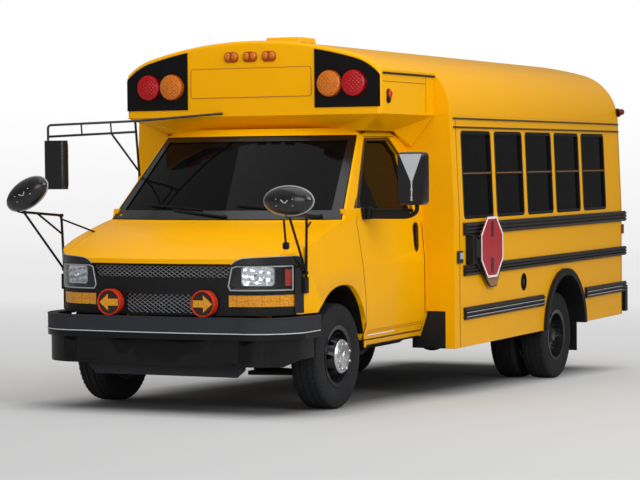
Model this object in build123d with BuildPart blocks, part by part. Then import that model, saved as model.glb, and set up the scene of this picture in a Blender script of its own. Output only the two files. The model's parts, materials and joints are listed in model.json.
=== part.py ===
"""A small school bus: a van chassis and cab with a bus body behind, as separate pieces.

Millimetres, +Z up, +Y to the rear, +X to the bus's left.  The sprung pieces are drawn level, with the front axle
at y = 0 and the ground under it at z = 0, and are then leaned nose down by `rake` about the front axle line.
"""
from build123d import *
import math
import os

# ---------------------------------------------------------------- driving dimensions
wheelbase = 4039
rake = 2.0                     # degrees, nose down when empty
tyre_diameter = 744
tyre_width = 223
rim_diameter = 406
front_track = 1720
rear_track = 1845              # to the middle of each twin pair
twin_spacing = 275
kingpin_inset = 75             # kingpin inside the front wheel's middle plane
seat_gap = 0.3                 # running clearance between pieces that seat on each other

body_width = 2438
left_wall_front = 1555         # y of the body's front on the driver's side
right_wall_front = 970         # and on the entrance side, ahead of the door
body_rear = 5764
skirt_height = 307
belt_height = 1300             # the walls lean inwards above this
eave_height = 2083
crown_rise = 557               # the crown above the eaves
wall_lean = 0.041              # inward, per unit of height above the belt
wall_thickness = 45
roof_thickness = 40
eave_radius = 455
rear_corner_radius = 90
floor_top = 700
floor_thickness = 40

cap_front = 560
cap_inset = 164                # the cap is narrower than the body by this on each side
cap_thickness = 40

window_pitch = 712.6
window_width = 640
window_bottom = 1288
window_top = 1968
first_window = 2070            # y of the middle of the first window
window_count = 5
window_radius = 40
pane_thickness = 6
frame_depth = 34

cab_width = 1970
cab_nose = -870
cab_sill = 400
cab_belt = 1343
cab_roof = 1985
cab_skin = 40
cab_floor = 600
windshield_base = 145          # y of the windshield's lower corners
windshield_top = 730           # y of its upper corners

door_front = 425
door_rear = 1520
door_bottom = 448
door_top = 1926
door_gap = 6
door_thickness = 70

entrance_front = 1030
entrance_width = 630
entrance_bottom = 350
entrance_top = 2000
leaf_gap = 24                  # between the two leaves, which swing past each other
leaf_thickness = 34
step_depth = 470

rear_door_width = 690
rear_door_bottom = 700
rear_door_top = 2000

bumper_front = -950
bumper_half = 1008
bumper_bottom = 360
bumper_top = 690

frame_half = 430
frame_depth_rail = 170
frame_top = 565
channel_width = 70
channel_skin = 9
frame_front = -740
tow_hole_radius = 14
tow_inset = 32
jack_pad = 14

# ---------------------------------------------------------------- derived places
rail_side = frame_half + channel_width / 2
frame_rear = body_rear - 60
wheel_radius = tyre_diameter / 2
body_half = body_width / 2
crown_height = eave_height + crown_rise
cap_half = body_half - cap_inset
cap_width = 2 * cap_half
cab_half = cab_width / 2
eave_half = body_half - wall_lean * (eave_height - belt_height)
kingpin_x = front_track / 2 - kingpin_inset
rake_sine = math.sin(math.radians(rake))
rear_axle_height = wheel_radius - wheelbase * rake_sine
rear_arch_y = wheelbase + 25
rear_arch_height = rear_axle_height + 47
rear_arch_radius = 472
flare_width = 56
front_reach = 999.8            # from the front axle to the foremost mirror, on the ground
rear_reach = 5881.9            # and to the rear bumper
origin_y = (rear_reach - front_reach) / 2

# the roof's crown arc, tangent to the two eave arcs
eave_centre = eave_half - eave_radius
crown_drop = eave_height - crown_height
crown_radius = (eave_radius**2 - eave_centre**2 - crown_drop**2) / (2 * (crown_drop + eave_radius))
crown_centre = crown_height - crown_radius


def across(y):
    """Section plane at y, seen from the front's opposite; it extrudes towards the front."""
    return Plane.XZ.offset(-y)


def half_width(z):
    """Outer half width of the body's wall at height z."""
    return body_half - wall_lean * max(0, z - belt_height)


def arch_lines(inset):
    """The roof's arch, inset from the outer skin, closed at the eaves."""
    r, big = eave_radius - inset, crown_radius - inset
    turn = math.atan2(eave_height - crown_centre, eave_centre)
    join = (eave_centre + r * math.cos(turn), eave_height + r * math.sin(turn))
    mid = (eave_centre + r * math.cos(turn / 2), eave_height + r * math.sin(turn / 2))
    eave = (eave_centre + r, eave_height)
    ThreePointArc(eave, mid, join)
    ThreePointArc(join, (0, crown_centre + big), (-join[0], join[1]))
    ThreePointArc((-join[0], join[1]), (-mid[0], mid[1]), (-eave[0], eave[1]))
    Line((-eave[0], eave[1]), eave)


def wall_outline(inset, foot, head):
    """Corners of the body's cross section between two heights."""
    lower, middle, upper = (half_width(z) - inset for z in (foot, belt_height, head))
    right = [(lower, foot), (middle, belt_height), (upper, head)]
    return right + [(-x, z) for x, z in reversed(right)]


def side_strip(sign, inset, thickness, foot, head):
    """Corners of one side wall's section."""
    outer = [(half_width(z) - inset, z) for z in (foot, belt_height, head)]
    inner = [(x - thickness, z) for x, z in reversed(outer)]
    return [(sign * x, z) for x, z in outer + inner]


# ---------------------------------------------------------------- bus body walls
windows_left = [(first_window + window_pitch * n, window_width) for n in range(window_count)]
entrance_rear = entrance_front + entrance_width
short_window = 480
windows_right = [(first_window + (window_width - short_window) / 2, short_window)] + windows_left[1:]


def side_wall(sign, front, windows):
    """One side of the body: a leaning wall with its windows and wheel arch cut."""
    with BuildPart() as wall:
        with BuildSketch(across(body_rear - rear_corner_radius)):
            with BuildLine():
                Polyline(*side_strip(sign, 0, wall_thickness, skirt_height, eave_height), close=True)
            make_face()
        extrude(amount=body_rear - rear_corner_radius - front)
        with BuildSketch(Plane.YZ.offset(sign * body_half)) as openings:
            for y, width in windows:
                with Locations((y, (window_bottom + window_top) / 2)):
                    RectangleRounded(width, window_top - window_bottom, window_radius)
            with Locations((rear_arch_y, rear_arch_height)):
                Circle(rear_arch_radius)
            with Locations((rear_arch_y, rear_arch_height - rear_arch_radius / 2)):
                Rectangle(2 * rear_arch_radius, rear_arch_radius)
        extrude(amount=-sign * 4 * wall_thickness, mode=Mode.SUBTRACT)
        extrude(openings.sketch, amount=sign * wall_thickness, mode=Mode.SUBTRACT)
    return wall.part


bulkhead_thickness = 40
post_width = 82                # corner post, below the panel beside the cab
panel_foot = 592
cheek_height = 1850            # where the panel leaves the cab for the cap's edge
left_bulkhead = [
    (body_half, skirt_height),
    (body_half - post_width, skirt_height),
    (body_half - post_width, panel_foot),
    (cab_half - 20, panel_foot),
    (cab_half - 20, 980),
    (cab_half - 50, cab_belt),
    (806, cheek_height),
    (868, cheek_height),
    (cap_half, eave_height),
    (eave_half, eave_height),
    (body_half, belt_height),
]

filler_place = (3069, 740)
filler_radius = 73
filler_depth = 24
with BuildPart() as body_side_left:
    add(side_wall(1, left_wall_front, windows_left))
    with BuildSketch(across(left_wall_front + bulkhead_thickness)):
        with BuildLine():
            Polyline(*left_bulkhead, close=True)
        make_face()
    extrude(amount=bulkhead_thickness)
    with BuildSketch(Plane.YZ.offset(body_half - filler_depth)):
        with Locations(filler_place):
            Circle(filler_radius)
    extrude(amount=100, mode=Mode.SUBTRACT)

with BuildPart() as fuel_filler:
    with BuildSketch(Plane.YZ.offset(body_half - filler_depth + seat_gap)):
        with Locations(filler_place):
            Circle(filler_radius - 0.5)
    extrude(amount=4)
    with BuildSketch(Plane.YZ.offset(body_half - filler_depth + 4)):
        with Locations(filler_place):
            Circle(filler_radius - 0.5)
            Circle(filler_radius - 8, mode=Mode.SUBTRACT)
            Circle(34)
    extrude(amount=filler_depth - 6, taper=4)

with BuildPart() as body_side_right:
    add(side_wall(-1, right_wall_front, windows_right))
    with BuildSketch(across(right_wall_front + bulkhead_thickness)):
        with BuildLine():
            Polyline(*[(-x, z) for x, z in left_bulkhead], close=True)
        make_face()
    extrude(amount=bulkhead_thickness)
    with BuildSketch(Plane.YZ.offset(-body_half - wall_thickness)):
        with Locations((entrance_front + entrance_width / 2, (entrance_bottom + entrance_top) / 2)):
            Rectangle(entrance_width, entrance_top - entrance_bottom)
    extrude(amount=4 * wall_thickness, mode=Mode.SUBTRACT)
    with BuildSketch(Plane.YZ.offset(-body_half - wall_thickness)):
        with Locations((entrance_front + entrance_width / 2, skirt_height)):
            Rectangle(entrance_width, 2 * (entrance_bottom - skirt_height))
    extrude(amount=4 * wall_thickness, mode=Mode.SUBTRACT)

with BuildPart() as roof:
    with BuildSketch(across(body_rear)):
        with BuildLine():
            arch_lines(0)
        make_face()
    extrude(amount=body_rear - left_wall_front)
    rear_rim = roof.edges().group_by(Axis.Y)[-1].filter_by(lambda e: e.center().Z > eave_height + 1)
    fillet(rear_rim, rear_corner_radius)
    with BuildSketch(across(body_rear - wall_thickness)):
        with BuildLine():
            arch_lines(roof_thickness)
        make_face()
    extrude(amount=body_rear, mode=Mode.SUBTRACT)
    # the part of the body's front that shows beside the cap
    with BuildSketch(across(left_wall_front + bulkhead_thickness)):
        with BuildLine():
            arch_lines(0)
        make_face()
        with Locations((cap_half - cap_thickness + body_half / 2, eave_height)):
            Rectangle(body_half, 2 * crown_height, mode=Mode.INTERSECT)
    extrude(amount=bulkhead_thickness)

rear_window_width = 500
rear_window_x = body_half - 449

with BuildPart() as rear_wall:
    with BuildSketch(across(body_rear)):
        with BuildLine():
            Polyline(*wall_outline(0, skirt_height, eave_height), close=True)
        make_face()
    extrude(amount=rear_corner_radius)
    fillet(rear_wall.edges().group_by(Axis.Y)[-1].filter_by(lambda e: abs(e.center().X) > 1), rear_corner_radius - 1)
    with BuildSketch(across(body_rear - wall_thickness)):
        with BuildLine():
            Polyline(*wall_outline(wall_thickness, skirt_height, eave_height), close=True)
        make_face()
    extrude(amount=rear_corner_radius, mode=Mode.SUBTRACT)
    with BuildSketch(across(body_rear + 1)):
        with Locations((0, (rear_door_bottom + rear_door_top) / 2)):
            Rectangle(rear_door_width, rear_door_top - rear_door_bottom)
        with Locations((rear_window_x, 1640), (-rear_window_x, 1640)):
            RectangleRounded(rear_window_width, 560, window_radius)
    extrude(amount=2 * rear_corner_radius, mode=Mode.SUBTRACT)

# ---------------------------------------------------------------- floor, steps and wheel boxes
wheel_box_top = 760
wheel_box_inner = 640
box_skin = 20
inner_half = body_half - wall_thickness
floor_front = left_wall_front + bulkhead_thickness

with BuildPart() as floor:
    with BuildSketch(Plane.XY.offset(floor_top - floor_thickness)):
        with Locations((0, (floor_front + body_rear - wall_thickness) / 2)):
            Rectangle(2 * inner_half, body_rear - wall_thickness - floor_front)
        with Locations((0, (left_wall_front + floor_front) / 2)):
            Rectangle(2 * cab_half - 2 * cab_skin, floor_front - left_wall_front)
    extrude(amount=floor_thickness)
    with BuildSketch(Plane.XY.offset(floor_top - floor_thickness)):
        for side in (-1, 1):
            with Locations((side * (wheel_box_inner + inner_half) / 2, rear_arch_y)):
                Rectangle(inner_half - wheel_box_inner, 2 * rear_arch_radius + 2 * box_skin)
    extrude(amount=wheel_box_top - floor_top + floor_thickness)
    with BuildSketch(Plane.XY.offset(floor_top - floor_thickness)):
        for side in (-1, 1):
            with Locations((side * (wheel_box_inner + box_skin + inner_half) / 2, rear_arch_y)):
                Rectangle(inner_half - wheel_box_inner - box_skin, 2 * rear_arch_radius)
    extrude(amount=wheel_box_top - box_skin - floor_top + floor_thickness, mode=Mode.SUBTRACT)
    # the step well inside the entrance: two treads between side plates
    step_middle = entrance_front + entrance_width / 2
    step_inner = inner_half - step_depth
    with BuildSketch(Plane.XY.offset(entrance_bottom)):
        with Locations((-(inner_half + step_inner) / 2, step_middle)):
            Rectangle(step_depth, entrance_width)
    extrude(amount=floor_top - entrance_bottom)
    with BuildSketch(Plane.YZ.offset(-inner_half)):
        with Locations((step_middle, entrance_bottom + 200)):
            Rectangle(entrance_width - 2 * box_skin, 400 - 2 * box_skin)
    extrude(amount=step_depth - 230, mode=Mode.SUBTRACT)
    with BuildSketch(Plane.YZ.offset(-inner_half)):
        with Locations((step_middle, entrance_bottom + 370)):
            Rectangle(entrance_width - 2 * box_skin, 360)
    extrude(amount=step_depth - box_skin, mode=Mode.SUBTRACT)

# ---------------------------------------------------------------- front cap over the cab
with BuildPart() as front_cap:
    with BuildSketch(across(left_wall_front)):
        with BuildLine():
            arch_lines(0)
        make_face()
        Rectangle(cap_width, 3 * crown_height, mode=Mode.INTERSECT)
    extrude(amount=left_wall_front - cap_front)
    with BuildSketch(across(left_wall_front)) as entrance_side:
        with BuildLine():
            arch_lines(0)
        make_face()
        with Locations((-body_half, 0)):
            Rectangle(2 * body_half, 3 * crown_height, mode=Mode.INTERSECT)
    extrude(amount=left_wall_front - right_wall_front)
    fillet(front_cap.edges().group_by(Axis.Y)[0].filter_by(lambda e: e.center().Z > eave_height + 1), 30)
    with BuildSketch(across(left_wall_front)):
        with BuildLine():
            arch_lines(cap_thickness)
        make_face()
        Rectangle(cap_width - 2 * cap_thickness, 3 * crown_height, mode=Mode.INTERSECT)
    extrude(amount=left_wall_front - cap_front - cap_thickness, mode=Mode.SUBTRACT)
    with BuildSketch(across(left_wall_front)):
        with BuildLine():
            arch_lines(cap_thickness)
        make_face()
        with Locations((-body_half, 0)):
            Rectangle(2 * body_half, 3 * crown_height, mode=Mode.INTERSECT)
    extrude(amount=left_wall_front - right_wall_front - cap_thickness, mode=Mode.SUBTRACT)
    # low ventilator on the crown
    with BuildSketch(Plane.XY.offset(crown_height - cap_thickness / 2)):
        with Locations((225, cap_front + 230)):
            RectangleRounded(293, 300, 30)
    extrude(amount=cap_thickness, taper=12)


def cheek(sign, y):
    """The slanting panel that closes the corner between cab roof, cap and body: a pyramid with its base on the body."""
    tip = (sign * 818, y - 250, cab_roof - 12)
    base = [(sign * x, y, z) for x, z in ((cap_half, eave_height), (868, cheek_height), (812, cheek_height), (790, cab_roof))]
    sides = [Face(Wire.make_polygon([a, b, tip])) for a, b in zip(base, base[1:] + base[:1])]
    return Solid(Shell(sides + [Face(Wire.make_polygon(base))]))


def soffit(inset):
    """The funnel under the cap, from its rim down to the cab's roof."""
    rim_y = (cap_front + inset + left_wall_front) / 2
    foot_front = windshield_top + inset
    foot_y = (foot_front + left_wall_front) / 2
    with BuildPart() as funnel:
        with BuildSketch(Plane.XY.offset(eave_height)):
            with Locations((0, rim_y)):
                Rectangle(cap_width - 2 * inset, left_wall_front - cap_front - inset)
        with BuildSketch(Plane.XY.offset(cab_roof - 20)):
            with Locations((0, foot_y)):
                Rectangle(1640 - 2 * inset, left_wall_front - foot_front)
        loft()
    return funnel.part


# ---------------------------------------------------------------- cab
# hood and fender tops: y, height on the middle line, height at the sides
hood_sections = [(-905, 1066, 985), (-500, 1236, 1135), (160, cab_belt, 1325)]


def nose_outline(inset):
    """Plan of the cab: a curved nose, straight sides, open to the rear."""
    side, back = cab_half - inset, left_wall_front
    corner, cheek = (945 - inset, -545), (600, -812 + inset)
    ThreePointArc((-cheek[0], cheek[1]), (0, cab_nose + inset), cheek)
    ThreePointArc(cheek, (812 - inset / 2, -722 + inset / 2), corner)
    Polyline(corner, (side, -300), (side, back), (-side, back), (-side, -300), (-corner[0], corner[1]))
    ThreePointArc((-corner[0], corner[1]), (-812 + inset / 2, -722 + inset / 2), (-cheek[0], cheek[1]))


def lower_cab(inset):
    """The cab up to its belt: the plan carried up, trimmed to the side section and the hood's curve."""
    with BuildPart() as block:
        with BuildSketch(Plane.XY.offset(cab_sill)):
            with BuildLine():
                nose_outline(inset)
            make_face()
        extrude(amount=cab_belt + 60 - cab_sill)
        with BuildSketch(across(left_wall_front + 1)):
            half = [(930, cab_sill), (cab_half, 560), (cab_half, 980), (955, cab_belt), (930, 1500)]
            edge = [(x - inset, z) for x, z in half]
            with BuildLine():
                Polyline(*edge, *[(-x, z) for x, z in reversed(edge)], close=True)
            make_face()
        extrude(amount=3000, mode=Mode.INTERSECT)
        for y, middle, side in hood_sections:
            with BuildSketch(across(y)):
                with BuildLine():
                    left, right = (-1100, side - inset), (1100, side - inset)
                    ThreePointArc(left, (0, middle - inset), right)
                    Polyline(right, (1100, 1700), (-1100, 1700), left)
                make_face()
        loft(mode=Mode.SUBTRACT)
    return block.part


def greenhouse(inset):
    """The cab above its belt: a curved windshield plan lofted up and back to the roof."""
    with BuildPart() as glasshouse:
        for z, half, corner, middle in (
            (cab_belt - 40, 958, windshield_base - 35, -145),
            (1930, 805, windshield_top, 545),
        ):
            with BuildSketch(Plane.XY.offset(z)):
                x, back = half - inset, left_wall_front
                with BuildLine():
                    ThreePointArc((-x, corner + inset), (0, middle + inset), (x, corner + inset))
                    Polyline((x, corner + inset), (x, back), (-x, back), (-x, corner + inset))
                make_face()
        loft()
        with BuildSketch(Plane.XY.offset(1930)):
            x = 805 - inset
            with BuildLine():
                ThreePointArc((-x, windshield_top + inset), (0, 545 + inset), (x, windshield_top + inset))
                Polyline((x, windshield_top + inset), (x, left_wall_front), (-x, left_wall_front), (-x, windshield_top + inset))
            make_face()
        extrude(amount=cab_roof - 1930 - inset, taper=45)
    return glasshouse.part


arch_top = 872
arch_points = [(-425, 380), (-405, 640), (-253, 797), (-60, 866), (70, arch_top), (199, 853), (352, 726), (437, 500), (440, 380)]


def front_arch(grow):
    """The front wheel opening in side view."""
    p = [(y + math.copysign(grow, y - 5), z + (grow if z > 400 else 0)) for y, z in arch_points]
    Line(p[0], p[1])
    ThreePointArc(p[1], p[2], p[3])
    ThreePointArc(p[3], p[4], p[5])
    ThreePointArc(p[5], p[6], p[7])
    Polyline(p[7], p[8], (p[8][0], 200), (p[0][0], 200), p[0])


def driver_door_outline(gap):
    """Side view of the driver's door, shrunk by gap: straight below the belt, leaning with the windshield above."""
    lower_front = door_front + min(gap, seat_gap)
    upper_front = door_front + gap
    Polyline(
        (lower_front, door_bottom + gap),
        (lower_front, 743),
        (upper_front - 96, 1307),
        (upper_front - 60, 1400),
        (upper_front, 1480),
        (upper_front + 382, door_top - gap),
        (door_rear - 150, door_top - gap),
        (door_rear - gap, 1780),
        (door_rear - gap, door_bottom + gap),
        close=True,
    )


def windshield_outline(inset):
    """Front view of the windshield's opening."""
    foot, head = cab_belt + 18 + inset, 1922 - inset
    FilletPolyline((-880 + inset, foot), (880 - inset, foot), (768 - inset, head), (-768 + inset, head), radius=24, close=True)


def cab_window_outline(inset):
    """Side view of the fixed window on the entrance side of the cab."""
    Polyline(
        (500 + inset, 1400 + inset),
        (860 + inset, 1850 - inset),
        (right_wall_front - 40 - inset, 1850 - inset),
        (right_wall_front - 40 - inset, 1400 + inset),
        close=True,
    )


def door_glass_outline(inset):
    FilletPolyline(
        (door_front + 38 + inset, cab_belt - 15 + inset),
        (door_front + 38 + inset, 1455),
        (door_front + 391 + inset, door_top - 33 - inset),
        (door_rear - 290 - inset, door_top - 30 - inset),
        (door_rear - 165 - inset, 1790),
        (door_rear - 140 - inset, cab_belt - 15 + inset),
        radius=18,
        close=True,
    )


hood_rear = -150
hood_half = 850
hood_gap = 6
hood_thickness = 26
hood_lip = 1050
liner_inner = 560

with BuildPart() as cab_shell:
    add(lower_cab(0))
    add(greenhouse(0))
    add(lower_cab(cab_skin), mode=Mode.SUBTRACT)
    add(greenhouse(cab_skin), mode=Mode.SUBTRACT)
    # dash wall, floor and wheel liners
    with BuildSketch(across(190)):
        with Locations((0, (cab_floor + 1300) / 2)):
            Rectangle(2 * (cab_half - 60), 1300 - cab_floor)
    extrude(amount=30)
    with BuildSketch(Plane.XY.offset(frame_top)):
        with Locations((0, (160 + left_wall_front) / 2)):
            Rectangle(2 * (cab_half - 30), left_wall_front - 160)
    extrude(amount=cab_floor - frame_top)
    for side in (-1, 1):
        with BuildSketch(Plane.YZ.offset(side * liner_inner)):
            with BuildLine():
                front_arch(24)
            make_face()
            with Locations((5, 200)):
                Rectangle(1000, 400, mode=Mode.SUBTRACT)
        extrude(amount=side * (cab_half - 20 - liner_inner))
    for side in (-1, 1):
        with BuildSketch(Plane.YZ.offset(side * (liner_inner + 15))):
            with BuildLine():
                front_arch(0)
            make_face()
        extrude(amount=side * 600, mode=Mode.SUBTRACT)
        # the upper suspension arm passes through the liner
        with BuildSketch(Plane.YZ.offset(side * (liner_inner - 20))):
            with Locations((0, 480)):
                Rectangle(300, 160)
        extrude(amount=side * 60, mode=Mode.SUBTRACT)
    # nose opening for the grille and lamps
    with BuildSketch(across(-560)):
        with Locations((0, (cab_sill + 1050) / 2)):
            Rectangle(1846, 1050 - cab_sill)
    extrude(amount=400, mode=Mode.SUBTRACT)
    with BuildSketch(Plane.XY.offset(cab_sill - 10)):
        with Locations((0, -300 - 500)):
            Rectangle(2.4 * cab_half, 1000)
    extrude(amount=bumper_top + 14 - cab_sill + 10, mode=Mode.SUBTRACT)
    # hood opening
    with BuildSketch(Plane.XY.offset(1000)):
        with Locations((0, (hood_rear - 1000) / 2)):
            Rectangle(2 * (hood_half + hood_gap), hood_rear + 1000 + 2 * seat_gap)
    extrude(amount=500, mode=Mode.SUBTRACT)
    # driver's door opening
    with BuildSketch(Plane.YZ.offset(600)):
        with BuildLine():
            driver_door_outline(0)
        make_face()
    extrude(amount=600, mode=Mode.SUBTRACT)
    # windshield opening
    with BuildSketch(across(-400)):
        with BuildLine():
            windshield_outline(0)
        make_face()
    extrude(amount=-1128, mode=Mode.SUBTRACT)
    # behind the right front panel the entrance takes the cab's place
    with BuildSketch(Plane.XY.offset(cab_sill - 10)):
        with Locations((-cab_half, (right_wall_front + left_wall_front) / 2 + 200)):
            Rectangle(900, left_wall_front - right_wall_front + 400)
    extrude(amount=cab_roof, mode=Mode.SUBTRACT)
    with BuildSketch(Plane.YZ.offset(-1200)):
        with BuildLine():
            cab_window_outline(0)
        make_face()
    extrude(amount=500, mode=Mode.SUBTRACT)
    # rear end opens into the body
    with BuildSketch(across(left_wall_front + 10)):
        with Locations((0, (cab_floor + 1900) / 2)):
            Rectangle(1500, 1900 - cab_floor)
    extrude(amount=60, mode=Mode.SUBTRACT)

soffit_thickness = 20
with BuildPart() as cap_soffit:
    add(soffit(0))
    add(soffit(soffit_thickness), mode=Mode.SUBTRACT)
    add(cheek(1, left_wall_front))
    add(cheek(-1, right_wall_front))
    add(greenhouse(-seat_gap), mode=Mode.SUBTRACT)

# ---------------------------------------------------------------- hood and driver's door
with BuildPart() as hood:
    add(lower_cab(0))
    with BuildSketch(Plane.XY.offset(hood_lip)):
        with Locations((0, (hood_rear - 1000) / 2)):
            Rectangle(2 * hood_half, hood_rear + 1000)
    extrude(amount=500, mode=Mode.INTERSECT)
    add(lower_cab(hood_thickness), mode=Mode.SUBTRACT)


def door_shell(gap, thickness):
    """A slice of the cab's skin in the shape of the driver's door."""
    with BuildPart() as slab:
        add(lower_cab(0))
        add(greenhouse(0))
        add(lower_cab(thickness), mode=Mode.SUBTRACT)
        add(greenhouse(thickness), mode=Mode.SUBTRACT)
        with BuildSketch(Plane.YZ.offset(600)):
            with BuildLine():
                driver_door_outline(gap)
            make_face()
        extrude(amount=600, mode=Mode.INTERSECT)
    return slab.part


handle_place = (door_rear - 132, 1163)
handle_recess = 22
with BuildPart() as driver_door:
    add(door_shell(door_gap, door_thickness))
    with BuildSketch(Plane.YZ.offset(600)):
        with BuildLine():
            door_glass_outline(0)
        make_face()
    extrude(amount=600, mode=Mode.SUBTRACT)
    with BuildSketch(Plane.YZ.offset(cab_half - handle_recess)):
        with Locations(handle_place):
            RectangleRounded(100, 226, 48)
    extrude(amount=100, mode=Mode.SUBTRACT)

with BuildPart() as door_handle:
    with BuildSketch(Plane.YZ.offset(cab_half - handle_recess + seat_gap)):
        with Locations(handle_place):
            RectangleRounded(99, 225, 47.5)
    extrude(amount=6)
    with BuildSketch(Plane.YZ.offset(cab_half - handle_recess + 6)):
        with Locations((handle_place[0], handle_place[1] + 10)):
            RectangleRounded(44, 170, 20)
    extrude(amount=12, taper=10)

with BuildPart() as driver_door_glass:
    add(greenhouse(25))
    add(greenhouse(25 + pane_thickness), mode=Mode.SUBTRACT)
    with BuildSketch(Plane.YZ.offset(600)):
        with BuildLine():
            door_glass_outline(0.4)
        make_face()
    extrude(amount=600, mode=Mode.INTERSECT)

with BuildPart() as windshield:
    add(greenhouse(8))
    add(greenhouse(8 + pane_thickness), mode=Mode.SUBTRACT)
    with BuildSketch(across(-400)):
        with BuildLine():
            windshield_outline(0.4)
        make_face()
    extrude(amount=-1128, mode=Mode.INTERSECT)

# ---------------------------------------------------------------- side windows
sash_height = 1640
frame_width = 26


def window_place(sign, y):
    """Plane in a side wall's outer face at a window's middle, leaning with the wall."""
    middle = (window_bottom + window_top) / 2
    return Plane(origin=(sign * half_width(middle), y, middle), x_dir=(0, sign, 0), z_dir=(sign, 0, wall_lean))


def window_frame(sign, y, width):
    """A split sash frame: rounded border with a bar at the sash."""
    height = window_top - window_bottom
    with BuildPart() as frame:
        with BuildSketch(window_place(sign, y)):
            RectangleRounded(width - 1, height - 5, window_radius - 1)
            RectangleRounded(width - 2 * frame_width, height - 2 * frame_width, 18, mode=Mode.SUBTRACT)
            with Locations((0, sash_height - (window_bottom + window_top) / 2)):
                Rectangle(width - 2 * frame_width + 4, 24)
        extrude(amount=-frame_depth)
    return frame.part


def window_pane(sign, y, width, z, height):
    """One pane between the frame's bars."""
    place = window_place(sign, y).offset(-frame_depth / 2)
    with BuildPart() as pane:
        with BuildSketch(place):
            RectangleRounded(width, window_top - window_bottom - 2 * frame_width - 2 * pane_gap, 17)
            with Locations((0, z - (window_bottom + window_top) / 2)):
                Rectangle(width, height, mode=Mode.INTERSECT)
        extrude(amount=-pane_thickness)
    return pane.part


pane_gap = 0.4
upper_pane = (sash_height + 12 + pane_gap, window_top - frame_width - pane_gap)
lower_pane = (window_bottom + frame_width + pane_gap, sash_height - 12 - pane_gap)
all_windows = [(1, y, w) for y, w in windows_left] + [(-1, y, w) for y, w in windows_right]
rear_window_z = 1640
rear_window_height = 560

with BuildPart() as window_frames:
    for sign, y, width in all_windows:
        add(window_frame(sign, y, width))
    with BuildSketch(across(body_rear)):
        with Locations((rear_window_x, rear_window_z), (-rear_window_x, rear_window_z)):
            RectangleRounded(rear_window_width - 2, rear_window_height - 2, window_radius - 1)
            RectangleRounded(rear_window_width - 50, rear_window_height - 50, 18, mode=Mode.SUBTRACT)
    extrude(amount=frame_depth)

with BuildPart() as side_glass:
    for sign, y, width in all_windows:
        for low, high in (lower_pane, upper_pane):
            add(window_pane(sign, y, width - 2 * frame_width - 2 * pane_gap, (low + high) / 2, high - low))
    with BuildSketch(across(body_rear - frame_depth / 2)):
        with Locations((rear_window_x, rear_window_z), (-rear_window_x, rear_window_z)):
            RectangleRounded(rear_window_width - 51, rear_window_height - 51, 17)
    extrude(amount=pane_thickness)
    with BuildPart() as cab_pane:
        add(greenhouse(25))
        add(greenhouse(25 + pane_thickness), mode=Mode.SUBTRACT)
        with BuildSketch(Plane.YZ.offset(-1200)):
            with BuildLine():
                cab_window_outline(0.4)
            make_face()
        extrude(amount=500, mode=Mode.INTERSECT)
    add(cab_pane)

# ---------------------------------------------------------------- rub rails, flares, bumpers
rail_depth = 26
drip_depth = 14
rail_front = 1722
# bottom and top of each rail on the wall
rails = [(1168, 1262), (854, 936), (518, 612)]
rail_end = body_rear


def rail(sign, low, high, front, rear):
    """A pressed rail with three ridges, lying on the wall."""
    z, pitch = low, (high - low) / 7
    with BuildPart() as strip:
        with BuildSketch(across(rear)):
            points = [(0, low), (rail_depth - 8, low)]
            for n in range(3):
                foot = low + pitch * (0.5 + 2 * n)
                points += [(rail_depth - 10, foot), (rail_depth, foot + pitch * 0.5)]
                points += [(rail_depth, foot + pitch * 1.3), (rail_depth - 10, foot + pitch * 1.8)]
            points += [(rail_depth - 8, high), (0, high)]
            with BuildLine():
                Polyline(*[(sign * (body_half + x), z) for x, z in points], close=True)
            make_face()
        extrude(amount=rear - front)
    return strip.part


arch_gap = rear_arch_radius + flare_width + 20
with BuildPart() as rub_rails:
    for low, high in rails[:2]:
        add(rail(1, low, high, rail_front, rail_end))
        add(rail(-1, low, high, entrance_rear + 60, rail_end))
    low, high = rails[2]
    add(rail(1, low, high, rail_front, rear_arch_y - arch_gap))
    add(rail(-1, low, high, entrance_rear + 60, rear_arch_y - arch_gap))
    for sign in (1, -1):
        add(rail(sign, low, high, rear_arch_y + arch_gap, rail_end))
    # the drip rails over the windows and along the cap; the entrance leaves swing out under the upper one
    for sign, starts in ((1, (left_wall_front + 50, left_wall_front + 50)), (-1, (entrance_rear + 60, right_wall_front + 50))):
        for height, front in zip((1995, 2062), starts):
            with BuildSketch(across(body_rear - rear_corner_radius)):
                x = half_width(height)
                with BuildLine():
                    Polyline(
                        *[(sign * u, v) for u, v in (
                            (x + 0.6, height - 7), (x + drip_depth, height - 7), (x + drip_depth, height - 2),
                            (x + 5, height + 1), (x + seat_gap, height + 7),
                        )], close=True)
                make_face()
            extrude(amount=body_rear - rear_corner_radius - front)
    # on both sides of the cap
    for sign, rear in ((1, left_wall_front), (-1, right_wall_front)):
        with BuildSketch(across(rear)):
            with Locations((sign * (cap_half + 6), eave_height + 295)):
                Rectangle(12, 14)
        extrude(amount=rear - cap_front - 30)

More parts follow.
